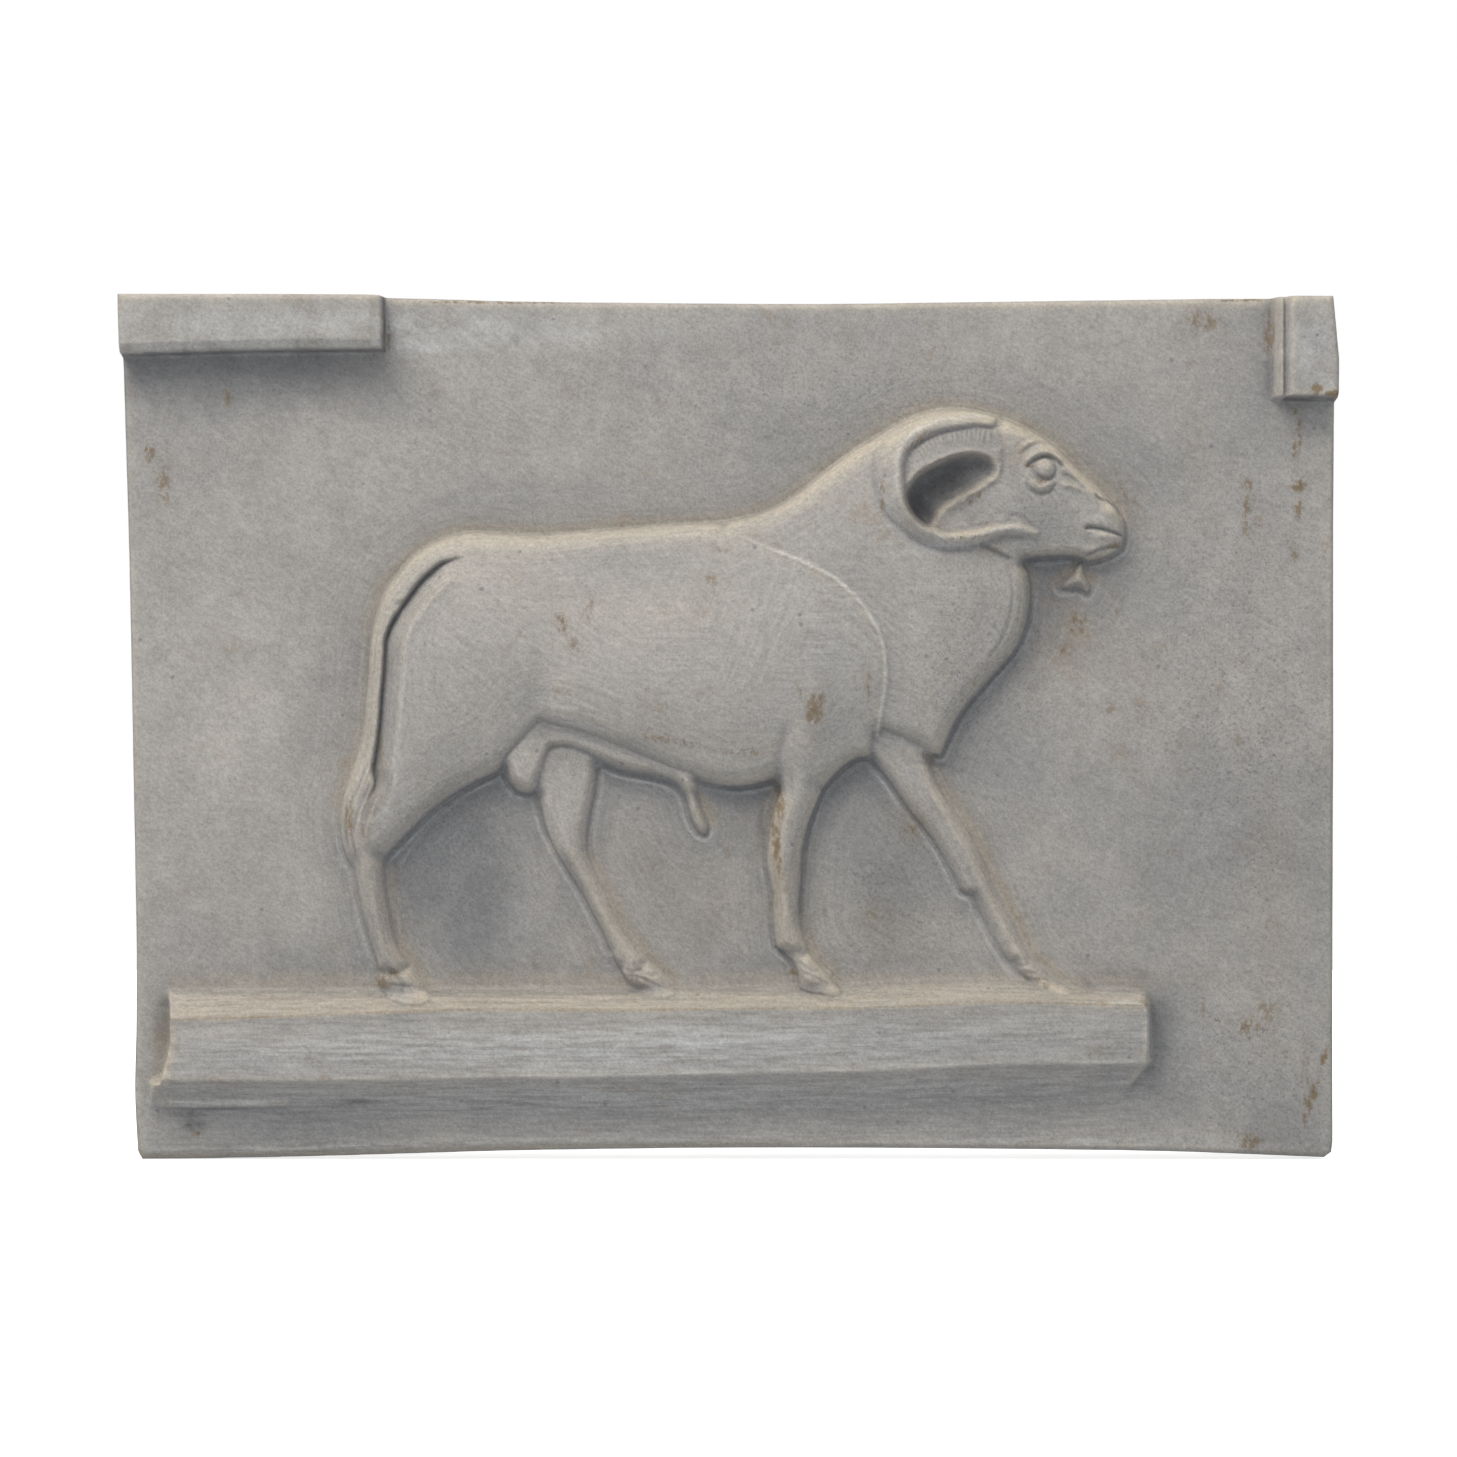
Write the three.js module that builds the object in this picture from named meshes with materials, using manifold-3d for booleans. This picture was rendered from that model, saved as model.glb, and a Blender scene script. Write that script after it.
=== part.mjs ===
// A plaster cast of a low relief: a ram striding along a ledge, with a raised block in each upper corner.
//
// Millimetres. Outlines are drawn in the XZ plane: x runs right from the panel's middle line and z runs up
// from its lower edge. "Height" is how far a form stands out of the sunk ground of the relief, towards -Y.
// The finished group is moved so that the origin is under the middle of the object, at its lowest edge.
import * as THREE from "three";
import { mergeVertices } from "three/addons/utils/BufferGeometryUtils.js";
import Module from "manifold-3d";

const wasm = await Module();
wasm.setup();

// ---------------------------------------------------------------- driving dimensions

const PANEL_THICKNESS = 22; // from the ground of the relief to the back
const FACE_COAT = 9; // fine plaster, cast against the mould
const EDGE_ROUND = 1.2; // worn arris round the panel
const GAP = 0.3; // between neighbouring forms

const BLOCK_HEIGHT = 9;
const LEDGE_HEIGHT = 7;
const SCRIM_THICKNESS = 1.2;
const SCRIM = { x: -1.5, z: 107, width: 282, height: 198, round: 8 };

const POCKET = { x: 0, z: 184, width: 92, height: 30, depth: 9, round: 6 }; // recess for the hanger
const WIRE_RADIUS = 1.1;
const WIRE_DEPTH = 4.2; // from the back face to the wire's middle
const DAB = { width: 24, height: 20, thickness: 7.2 };

const SAMPLE = 3.2; // spacing of the points along a smooth run
const FINE = 1.3; // the same, on the small forms
const COARSE = 16; // the same, round the panel
const MITRE_LIMIT = 1.6; // how much further than its sides a sharp corner moves when an outline is inset

// How far each form of the ram stands out.
const HEIGHTS = {
  torso: 8.5,
  neck: 8,
  head: 8,
  horn: 9.5,
  ear: 6,
  eye: 9,
  beard: 4,
  tail: 5,
  scrotum: 5.5,
  sheath: 4,
  near_leg: 6,
  far_leg: 3.6,
  near_hoof: 6,
  far_hoof: 4.2,
};

const COLOURS = {
  plaster: { color: "#a39f99", roughness: 0.85, metalness: 0 },
  backing: { color: "#c9c3b6", roughness: 0.95, metalness: 0 },
  jute: { color: "#9a7d52", roughness: 1, metalness: 0 },
  wire: { color: "#8b8d8f", roughness: 0.45, metalness: 0.9 },
};

// ---------------------------------------------------------------- outlines

// A run is a list of points joined by a smooth curve, or by a straight line where there are only two.
// An outline is a list of runs that meet at corners, so each run starts where the one before it ended.
function smooth(points) {
  const knots = points.map(([x, z]) => new THREE.Vector3(x, z, 0));
  return new THREE.CatmullRomCurve3(knots, false, "centripetal");
}

function sampleRun(points, step) {
  if (points.length === 2) return [points[0]];
  const curve = smooth(points);
  const count = Math.max(2, Math.round(curve.getLength() / step));
  return curve
    .getSpacedPoints(count)
    .slice(0, count)
    .map((p) => [p.x, p.y]);
}

function outline(runs, step = SAMPLE) {
  const points = [];
  runs.forEach((run, i) => {
    const next = runs[(i + 1) % runs.length][0];
    points.push(...sampleRun([...run, next], step));
  });
  const [clean] = dropStraight([points]);
  return area(clean) < 0 ? clean.reverse() : clean;
}

// A cap can't use a point that lies exactly on the line between its neighbours, so those points go.
function dropStraight(rings) {
  const count = rings[0].length;
  const bent = (ring, i) => {
    const [before, p, after] = [ring[(i + count - 1) % count], ring[i], ring[(i + 1) % count]];
    const cross = (p[0] - before[0]) * (after[1] - p[1]) - (p[1] - before[1]) * (after[0] - p[0]);
    return Math.abs(cross) > 1e-6;
  };
  return rings.map((ring) => ring.filter((_, i) => rings.every((other) => bent(other, i))));
}

function area(points) {
  return THREE.ShapeUtils.area(points.map(([x, y]) => ({ x, y })));
}

// Moves every side of a counter-clockwise outline inwards, or outwards where the distance is negative.
// A point at a corner moves further than its sides do, up to a limit.
function inset(points, distance) {
  const n = points.length;
  return points.map((p, i) => {
    const before = points[(i + n - 1) % n];
    const after = points[(i + 1) % n];
    const a = new THREE.Vector2(p[0] - before[0], p[1] - before[1]).normalize();
    const b = new THREE.Vector2(after[0] - p[0], after[1] - p[1]).normalize();
    const normal = new THREE.Vector2(-a.y - b.y, a.x + b.x).normalize();
    const stretch = Math.min(MITRE_LIMIT, 1 / Math.max(0.1, -a.y * normal.x + a.x * normal.y));
    return [p[0] + normal.x * distance * stretch, p[1] + normal.y * distance * stretch];
  });
}

// ---------------------------------------------------------------- solids

// A closed skin through outlines of the same count, stacked by height, from the ground of the relief at 0.
function loft(rings) {
  const count = rings[0].points.length;
  const positions = rings.flatMap(({ points, height }) => points.flatMap(([x, z]) => [x, -height, z]));
  const index = [];
  for (let r = 0; r + 1 < rings.length; r++) {
    for (let i = 0; i < count; i++) {
      const j = (i + 1) % count;
      const low = r * count;
      const high = low + count;
      index.push(low + i, low + j, high + j, low + i, high + j, high + i);
    }
  }
  const last = (rings.length - 1) * count;
  const flat = rings[0].points.map(([x, z]) => new THREE.Vector2(x, z));
  THREE.ShapeUtils.triangulateShape(flat, []).forEach(([a, b, c]) => {
    index.push(a, c, b, last + a, last + b, last + c);
  });
  const geometry = new THREE.BufferGeometry();
  geometry.setAttribute("position", new THREE.Float32BufferAttribute(positions, 3));
  geometry.setIndex(index);
  return geometry;
}

// A plate between two heights whose front arris is rounded.
function plate(points, bottom, top, round = 0, steps = 2) {
  const rings = [{ points, height: bottom }];
  if (round > 0) {
    for (let i = 0; i <= steps; i++) {
      const angle = (i / steps) * (Math.PI / 2);
      rings.push({
        points: inset(points, round * (1 - Math.cos(angle))),
        height: top - round + round * Math.sin(angle),
      });
    }
  } else {
    rings.push({ points, height: top });
  }
  return loft(rings);
}

function toSolid(geometry) {
  const bare = geometry.clone();
  bare.deleteAttribute("normal");
  bare.deleteAttribute("uv");
  const merged = mergeVertices(bare, 1e-4);
  return new wasm.Manifold(
    new wasm.Mesh({
      numProp: 3,
      vertProperties: new Float32Array(merged.attributes.position.array),
      triVerts: new Uint32Array(merged.index.array),
    }),
  );
}

function toGeometry(solid) {
  const mesh = solid.getMesh();
  const geometry = new THREE.BufferGeometry();
  const positions = Array.from(mesh.vertProperties);
  geometry.setAttribute("position", new THREE.Float32BufferAttribute(positions, 3));
  geometry.setIndex(Array.from(mesh.triVerts));
  geometry.computeVertexNormals();
  return geometry;
}

// A tall prism that cuts a neighbour's place, with the gap round it, out of another form.
function cutter(points) {
  return toSolid(plate(inset(points, -GAP), -1, 20));
}

// ---------------------------------------------------------------- drawing

const PANEL = outline(
  [
    [[-152.9, 214.6], [-152.4, 196], [-151.5, 165], [-150.2, 110], [-149.2, 50], [-148.8, 8]],
    [[-148.3, 1.4]],
    [[-147.2, -0.7], [-130, -0.5], [-100, 0.1], [-60, 1.3], [0, 2.2], [60, 2], [110, 1.3], [135, 0.4]],
    [[147.4, -0.1]],
    [[149.2, 1.2]],
    [[149.5, 3.6], [149.6, 60], [149.7, 130], [149.9, 190], [149.9, 212]],
    [[148.6, 214.6], [120, 214.6], [60, 213.8], [0, 213.2], [-50, 213.4], [-88, 214.4]],
  ],
  COARSE,
);

// The ledge and the blocks slope in from a foot outline on the ground to a smaller face outline.
// Both outlines have the same runs, with as many points in each, and go round the same way.
function tapered(foot, face, height) {
  const sampled = [foot, face].map((runs) =>
    runs.flatMap((run, i) => {
      const end = runs[(i + 1) % runs.length][0];
      const count = run.length * 2;
      return smooth([...run, end]).getPoints(count).slice(0, count).map((p) => [p.x, p.y]);
    }),
  );
  const [low, high] = dropStraight(sampled).map((ring) => (area(ring) < 0 ? ring.reverse() : ring));
  return loft([
    { points: low, height: 0 },
    { points: high, height },
  ]);
}

const LEDGE_FOOT = [
  [[-145.6, 15.2], [-60, 15], [20, 15.6]],
  [[98.5, 16.4], [101.5, 20]],
  [[104.6, 24], [104.4, 32], [104, 38]],
  [[101.8, 40.6], [60, 40.8], [0, 40.6], [-60, 40.6], [-110, 41]],
  [[-144.2, 40.4], [-143.8, 32], [-145, 22]],
];
const LEDGE_FACE = [
  [[-141.6, 19.6], [-60, 21.1], [20, 23]],
  [[99, 24.2], [101.6, 24.4]],
  [[102.4, 26], [102.4, 32], [102.2, 37.2]],
  [[100.6, 38.8], [60, 38.6], [0, 37.4], [-60, 37.4], [-110, 35.4]],
  [[-141, 35.6], [-140.7, 30], [-141.4, 24]],
];
const LEFT_BLOCK_FOOT = [
  [[-152.6, 200], [-120, 201.1], [-100, 201.3]],
  [[-87.6, 201.4], [-87.4, 208]],
  [[-87.8, 214.2], [-110, 214.6], [-130, 214.6]],
  [[-152.9, 214.5], [-152.8, 207]],
];
const LEFT_BLOCK_FACE = [
  [[-152.2, 202.6], [-120, 203.6], [-100, 203.8]],
  [[-90.8, 203.6], [-90.8, 208]],
  [[-91, 213.6], [-110, 213.8], [-130, 213.8]],
  [[-152.3, 213.8], [-152.3, 207]],
];
const RIGHT_BLOCK_FOOT = [
  [[134.6, 189.4], [142, 189.2]],
  [[149.8, 188.6], [149.9, 200]],
  [[149.9, 212], [149.4, 213.6]],
  [[148.4, 214.4], [142, 214.4]],
  [[135, 214.2], [134.6, 202]],
];
const RIGHT_BLOCK_FACE = [
  [[137.8, 190.2], [142, 190]],
  [[149, 189.6], [149.3, 200]],
  [[149.2, 211.4], [148.7, 212.8]],
  [[147.8, 213.6], [142, 213.7]],
  [[138, 213.6], [137.8, 202]],
];

const RAM = {
  eye: outline(
    [
      [[75.1, 171.8], [76.2, 173.7], [78.2, 174], [79.9, 172.6]],
      [[79.6, 170.6], [77.8, 169.5], [75.9, 170.1]],
    ],
    FINE,
  ),
  ear: outline(
    [
      [[49.4, 158.4], [51.2, 161.6], [53.6, 164], [57, 165.5], [60.4, 166.9], [63.2, 169]],
      [[65.6, 171], [66, 168.8], [64, 165.4], [61.2, 162], [58.4, 159.4], [54.4, 158]],
    ],
    FINE,
  ),
  horn: outline(
    [
      [
        [66.8, 183], [62, 183], [57, 182.9], [52, 182.4], [47, 181.8], [42.5, 180.2], [38.8, 177.2],
        [36, 173.3], [34.9, 169], [35.2, 164.5], [37, 160.5], [40, 156.8], [44.3, 153.4], [49.3, 151.5],
        [55, 151.6], [60, 152.8], [64, 154.2], [68.5, 155],
      ],
      [
        [75.2, 155.1], [73.2, 157], [70, 158.6], [66, 158.3], [61.5, 157], [57, 155.8], [53, 155.6],
        [49.8, 157], [47, 158.8], [44.7, 161], [43.4, 163.8], [42.9, 167], [44.2, 169.8], [46.8, 171.5],
        [50, 172.8], [54, 174.3], [57, 175.1], [60.5, 175.1],
      ],
      [[63.2, 173.8], [64.7, 177], [66, 180.2]],
    ],
    1.8,
  ),
  hollow: outline(
    [
      [
        [63.2, 173.8], [60.5, 175.1], [57, 175.1], [54, 174.3], [50, 172.8], [46.8, 171.5], [44.2, 169.8],
        [42.9, 167], [43.4, 163.8], [44.7, 161], [47, 158.8],
      ],
      [[49.2, 157.6], [51, 161.8], [53.4, 164.2], [57, 165.8], [60.2, 167.2], [62.8, 169.2], [64, 171.6]],
    ],
    1.8,
  ),
  beard: outline(
    [
      [[85.9, 148.6], [84.9, 146.8], [83.4, 145], [82.2, 143.8]],
      [[81.5, 142.1], [83.7, 142], [85.2, 142.3], [87, 141.7]],
      [[88.2, 140.8], [88.9, 142.6], [88, 144.9], [87.1, 146.6]],
      [[87.5, 148.6], [86.7, 148.8]],
    ],
    FINE,
  ),
  near_fore_hoof: outline(
    [
      [[11.6, 51.6], [13.8, 49.8], [15.2, 47.6], [15.7, 45]],
      [[16, 42.2], [18.1, 41.4], [21.9, 40.8], [25.1, 40.3]],
      [[27, 41.2], [25.1, 43.6], [23.2, 45.8], [20.6, 48.4]],
      [[18.5, 51.2], [15.2, 50.6]],
    ],
    FINE,
  ),
  far_fore_hoof: outline(
    [
      [[68.8, 48.4], [70.6, 46.2], [72.6, 43.8], [75.1, 42.2], [78.3, 40.9], [82.2, 40.3]],
      [[84.4, 41.4], [80.9, 44.2], [78.6, 46.2], [75.8, 48.7]],
      [[73.9, 49.8], [71.4, 48.8]],
    ],
    FINE,
  ),
  near_hind_hoof: outline(
    [
      [[-88.7, 46.6], [-88.9, 43], [-87.2, 40.8]],
      [[-85.6, 39.2], [-81, 38.3], [-77.4, 38.4]],
      [[-75.4, 39.8], [-77.1, 42.1], [-79, 44.7]],
      [[-81.2, 47.7], [-85, 46.4]],
    ],
    FINE,
  ),
  far_hind_hoof: outline(
    [
      [[-30, 48.2], [-29.4, 45.6], [-27.4, 43.4], [-24, 41.6], [-20, 40.1], [-17, 39.8]],
      [[-14.4, 41], [-15.8, 43], [-17.8, 45.6]],
      [[-21.6, 48.6], [-26, 47.4]],
    ],
    FINE,
  ),
  tail: outline([
    [
      [-69, 155.7], [-74.9, 153.7], [-80, 150.3], [-84.5, 145.4], [-87.2, 142], [-89, 138], [-90.5, 132],
      [-91.3, 125.8], [-91.7, 119.4], [-92.3, 113], [-93.1, 106.6], [-94.4, 100.4], [-96.2, 95],
      [-97.8, 90], [-98.6, 84.5], [-98, 78.5], [-96.6, 74.5],
    ],
    [
      [-95, 71.8], [-95.3, 76], [-95.9, 80], [-94.9, 84.4], [-92.2, 88], [-90.2, 91], [-89.3, 93.4],
      [-89.7, 97], [-88.7, 103.8], [-88.1, 108.5], [-87.7, 114.3], [-87.2, 120.7], [-86.8, 127],
      [-86.2, 131], [-84.2, 134.9], [-81.4, 139], [-78.7, 142.8], [-76, 145.6], [-72.9, 148.2],
    ],
    [[-68, 149.9]],
  ]),
  scrotum: outline(
    [
      [
        [-57.8, 97.2], [-56.7, 94], [-54.4, 91.6], [-51.4, 90.9], [-49.4, 91.9], [-47.8, 94.8],
        [-46.2, 98.6],
      ],
      [[-45.2, 101], [-46.2, 104]],
      [[-48.2, 107.4], [-51.6, 103.6], [-55, 100.2]],
    ],
    FINE,
  ),
  sheath: outline(
    [
      [
        [-45.1, 100.9], [-42.8, 101.3], [-39.6, 100.5], [-35.1, 98.9], [-31.3, 97.4], [-26.8, 96],
        [-21.7, 95.1], [-17.2, 93.9], [-14, 92.2], [-12.3, 89.6], [-11.4, 85.7], [-9.8, 82.2],
        [-8, 80.3], [-6.6, 81.2], [-6.9, 83.6], [-8.3, 87.2], [-9.4, 91],
      ],
      [[-9.4, 94.2], [-13.9, 95.4], [-19.1, 97.4], [-29.3, 101.5], [-39.6, 105.4]],
      [[-47.4, 107.1], [-46, 104]],
    ],
    1.8,
  ),
  near_hind_leg: outline([
    [[-95.6, 78.6], [-95.1, 74], [-94.3, 68], [-93, 61], [-91.2, 54.5], [-89.7, 50]],
    [[-88.8, 46.6], [-85, 46.5]],
    [[-81.2, 47.8], [-83.2, 51.1], [-84.6, 54.6], [-86, 61], [-87.2, 68]],
    [[-87.7, 74.4], [-91.6, 77]],
  ]),
  near_foreleg: outline([
    [
      [10.8, 94.7], [11.5, 92.2], [10.1, 88.1], [9.1, 83.7], [8.5, 79.8], [8, 75.6], [8.1, 71.6],
      [9, 67.6], [9.4, 63.1], [9.6, 58],
    ],
    [[10.4, 52.6], [15.2, 50.8]],
    [
      [18.4, 51.5], [17, 55.2], [16.1, 59], [16, 63.5], [16.4, 68.3], [16.6, 73.4], [17.1, 78.5],
      [18.2, 82.8], [20, 87.6],
    ],
    [[21.9, 91.8], [16.4, 93.8]],
  ]),
  neck: outline([
    [
      [-3, 158.6], [5, 160.4], [10, 162.3], [15, 165.2], [20, 169], [25, 173], [30, 176.6], [35, 179.7],
      [40, 182.8], [45, 185.2], [50, 186.5], [55, 186.8], [60, 186.1],
    ],
    [[66.8, 184.4], [64, 178]],
    [[60, 165], [61.6, 155]],
    [[62.4, 152.6], [65, 151.4]],
    [
      [68, 149.8], [70.8, 149], [72.9, 146.8], [73.7, 142.6], [73.6, 138.6], [72.4, 132.6], [69.9, 126.9],
      [66, 122.2], [61.8, 117.4], [57.6, 112.6], [54.9, 108.6], [53, 104.4],
    ],
    [[51.3, 100.4], [49.4, 100.7], [44.1, 102.8], [38, 104.9]],
    [
      [35.4, 106], [35.7, 110.8], [36.8, 115.7], [37.4, 120.5], [37.3, 125.4], [36.3, 130.4], [32.9, 136.6],
      [29.8, 140.3], [25.3, 144.3], [20.4, 147.2], [15.5, 149.3], [10.7, 151.2], [6.4, 152.9], [0.3, 155.2],
    ],
    [[-3, 156.4]],
  ]),
  head: outline(
    [
      [
        [66.8, 184.4], [70, 183.2], [75, 180.7], [80, 177.4], [83.4, 174.2], [86.4, 171.2], [90, 168],
        [93.2, 164.9], [95.5, 162.2], [97, 159.3], [97.3, 156.9], [97, 154.2],
      ],
      [[96.2, 151.9], [94, 150.7], [91, 149.5]],
      [[88.2, 148.9], [85.6, 150], [82, 150.3], [77, 150], [72, 149.6]],
      [[68, 149.8], [65, 151.4]],
      [[62.4, 152.6], [56, 154], [52, 156]],
      [[49.2, 157.6], [51, 161.8], [53.4, 164.2], [57, 165.8], [60.2, 167.2], [62.8, 169.2]],
      [[64, 171.6], [63.2, 173.8], [64.7, 177], [66, 180.2]],
    ],
    1.9,
  ),
  torso: outline([
    [[-3, 158.6], [-12, 158.1], [-24, 157.3], [-40, 156], [-50, 155.4], [-60, 155.9], [-65, 156.1]],
    [[-69, 155.7], [-68, 149.9]],
    [
      [-68, 149.9], [-72.9, 148.2], [-77, 144.4], [-80.6, 139], [-82.8, 132], [-83.2, 125], [-82.3, 117],
      [-81.6, 110], [-82.4, 104], [-84.2, 99], [-87, 95], [-89.2, 92.6], [-91, 89.2], [-93.4, 85.4],
    ],
    [[-95.7, 81], [-95.7, 79]],
    [[-91.6, 77.1], [-87.7, 74.6]],
    [
      [-87.7, 74.6], [-83.2, 79.3], [-80, 82.5], [-76.8, 85.6], [-73.6, 88.3], [-69.7, 90.9],
      [-65.3, 93.4], [-61.4, 95.3],
    ],
    [[-57.8, 97.2], [-55, 100.2], [-51.6, 103.6]],
    [
      [-48.2, 107.4], [-42.8, 106.3], [-34.5, 103.5], [-29.3, 101.5], [-24.2, 99.6], [-19.1, 97.4],
      [-13.9, 95.4], [-8.8, 94], [-3.7, 93], [0.9, 92.6], [5.8, 93.3],
    ],
    [[10.8, 94.8], [16.4, 94]],
    [[21.9, 92], [25.1, 95.8], [28.3, 98.6], [31, 99.9]],
    [[33.8, 100.2], [35.2, 103]],
    [
      [35.4, 106], [35.7, 110.8], [36.8, 115.7], [37.4, 120.5], [37.3, 125.4], [36.3, 130.4], [32.9, 136.6],
      [29.8, 140.3], [25.3, 144.3], [20.4, 147.2], [15.5, 149.3], [10.7, 151.2], [6.4, 152.9], [0.3, 155.2],
    ],
    [[-3, 156.4]],
  ]),
  far_hind_leg: outline([
    [[-49.2, 93], [-48.9, 89], [-48.9, 84.4]],
    [[-49, 80], [-46.6, 78.6], [-44.1, 75.4], [-40.9, 70.3], [-37.7, 65.2], [-34.8, 59.6], [-32.4, 54.8]],
    [[-30.2, 48.6], [-26, 47.6]],
    [
      [-21.6, 48.8], [-24.3, 51.7], [-26.9, 55.4], [-30, 60.7], [-32.2, 65.2], [-34.5, 70.3], [-36.7, 75.4],
      [-37, 79.9], [-36.1, 85.7], [-34.9, 91.5],
    ],
    [[-34.2, 98.4], [-39.6, 100.4], [-42.8, 101.3]],
    [[-45.2, 101], [-46.2, 98.6], [-47.8, 94.8]],
  ]),
  far_foreleg: outline([
    [[35.6, 105.6], [35.3, 102.6]],
    [
      [34, 99.8], [36, 97.1], [38.6, 93.9], [41.2, 90.1], [44.4, 85.6], [46.9, 82.8], [49.5, 79.2],
      [52.1, 75.3], [54, 71.7], [55.6, 68.6],
    ],
    [[56.8, 66.2], [58.7, 66.2], [59.8, 65], [60.6, 62.7], [62.3, 58.9], [64.2, 55.4], [66.2, 51.8]],
    [[68.6, 48.7], [71.4, 49]],
    [
      [73.9, 50], [72.4, 53], [70.6, 56.6], [68.9, 60], [67, 63.6], [64.7, 68.2], [62.3, 73.4],
      [59.8, 78.5], [57.8, 82], [55.2, 86.2], [52.6, 90.1], [50.3, 93.9],
    ],
    [[48, 101.2], [44.1, 102.7], [38, 104.8]],
  ]),
};

// Which neighbours take their place out of each form. A form keeps clear of every form in its list.
const CUT_BY = {
  neck: ["horn", "hollow", "head", "torso"],
  head: ["horn", "hollow", "ear", "eye", "beard"],
  ear: ["horn"],
  torso: ["tail", "scrotum", "sheath", "near_hind_leg", "near_foreleg"],
  tail: ["near_hind_leg"],
  near_hind_leg: ["near_hind_hoof"],
  near_foreleg: ["near_fore_hoof"],
  far_hind_leg: ["scrotum", "sheath", "far_hind_hoof"],
  far_foreleg: ["neck", "torso", "far_fore_hoof"],
  sheath: ["scrotum"],
};

const KIND = {
  near_foreleg: "near_leg",
  near_hind_leg: "near_leg",
  far_foreleg: "far_leg",
  far_hind_leg: "far_leg",
  near_fore_hoof: "near_hoof",
  near_hind_hoof: "near_hoof",
  far_fore_hoof: "far_hoof",
  far_hind_hoof: "far_hoof",
};
const ROUNDS = { torso: 2, neck: 1.6, head: 1.2, horn: 1, eye: 1.6, tail: 1, near_leg: 1.2 };
const FINE_ROUND = 0.4;

// The barrel of the body and the neck swell in the middle: an ellipsoid trims their fronts.
const CROWNS = {
  torso: { x: -28, z: 124, across: 118, up: 70, edge: 2.2 },
  neck: { x: 48, z: 140, across: 74, up: 82, edge: 2.6 },
};

const group = new THREE.Group();

function add(name, geometry, colour) {
  const mesh = new THREE.Mesh(geometry, new THREE.MeshStandardMaterial(COLOURS[colour]));
  mesh.name = name;
  group.add(mesh);
  return mesh;
}

function crown(solid, height, { x, z, across, up, edge }) {
  const ball = new THREE.SphereGeometry(1, 40, 20);
  ball.scale(across, height - edge, up);
  ball.translate(x, -edge, z);
  return solid.intersect(toSolid(ball));
}

function buildRam() {
  Object.keys(RAM)
    .filter((form) => form !== "hollow")
    .forEach((form) => {
      const kind = KIND[form] ?? form;
      const height = HEIGHTS[kind];
      const front = plate(RAM[form], 0, height, ROUNDS[kind] ?? FINE_ROUND);
      let solid = toSolid(front);
      if (CROWNS[form]) solid = crown(solid, height, CROWNS[form]);
      (CUT_BY[form] ?? []).forEach((other) => {
        solid = solid.subtract(cutter(RAM[other]));
      });
      add(`ram_${form}`, toGeometry(solid), "plaster");
    });
}

function buildPanel() {
  add("face_panel", buildFacePanel(), "plaster");
  const hooves = Object.keys(RAM).filter((form) => form.endsWith("hoof"));
  let ledge = toSolid(tapered(LEDGE_FOOT, LEDGE_FACE, LEDGE_HEIGHT));
  hooves.forEach((hoof) => {
    ledge = ledge.subtract(cutter(RAM[hoof]));
  });
  add("ledge", toGeometry(ledge), "plaster");
  add("upper_left_block", tapered(LEFT_BLOCK_FOOT, LEFT_BLOCK_FACE, BLOCK_HEIGHT), "plaster");
  add("upper_right_block", tapered(RIGHT_BLOCK_FOOT, RIGHT_BLOCK_FACE, BLOCK_HEIGHT), "plaster");
}

// The face coat, with a shallow bed in its back where the scrim is pressed in.
function buildFacePanel() {
  const { x, z, width, height, round } = SCRIM;
  const edge = roundedRectangle(x, z, width + 2 * GAP, height + 2 * GAP, round + GAP);
  const coat = toSolid(plate(PANEL, -FACE_COAT, 0, EDGE_ROUND));
  const bed = toSolid(plate(edge, -FACE_COAT - 1, -FACE_COAT + SCRIM_THICKNESS + 2 * GAP));
  return toGeometry(coat.subtract(bed));
}

function buildScrim() {
  const { x, z, width, height, round } = SCRIM;
  const back = -FACE_COAT + GAP;
  const edge = roundedRectangle(x, z, width, height, round);
  add("jute_scrim", plate(edge, back, back + SCRIM_THICKNESS), "jute");
}

// A rectangle with round corners, as an outline.
function roundedRectangle(x, z, width, height, round) {
  const shape = new THREE.Shape();
  const left = x - width / 2;
  const low = z - height / 2;
  shape.moveTo(left + round, low);
  shape.lineTo(left + width - round, low);
  shape.absarc(left + width - round, low + round, round, -Math.PI / 2, 0);
  shape.absarc(left + width - round, low + height - round, round, 0, Math.PI / 2);
  shape.absarc(left + round, low + height - round, round, Math.PI / 2, Math.PI);
  shape.absarc(left + round, low + round, round, Math.PI, Math.PI * 1.5);
  const points = shape.extractPoints(4).shape.map((p) => [p.x, p.y]);
  return points.filter((p, i) => {
    const q = points[(i + 1) % points.length];
    return Math.hypot(p[0] - q[0], p[1] - q[1]) > 1e-3;
  });
}

// The backing coat is built against the face coat. Its back is rounded off, and a pocket holds the hanger.
function buildBacking() {
  const round = 2;
  const rings = [
    { points: inset(PANEL, round), height: -PANEL_THICKNESS },
    { points: inset(PANEL, round * 0.3), height: -PANEL_THICKNESS + round * 0.3 },
    { points: PANEL, height: -PANEL_THICKNESS + round },
    { points: PANEL, height: -FACE_COAT },
  ];
  const mouth = roundedRectangle(POCKET.x, POCKET.z, POCKET.width, POCKET.height, POCKET.round);
  const pocket = plate(mouth, -PANEL_THICKNESS - 1, -PANEL_THICKNESS + POCKET.depth);
  add("backing_coat", toGeometry(toSolid(loft(rings)).subtract(toSolid(pocket))), "backing");
}

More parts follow.
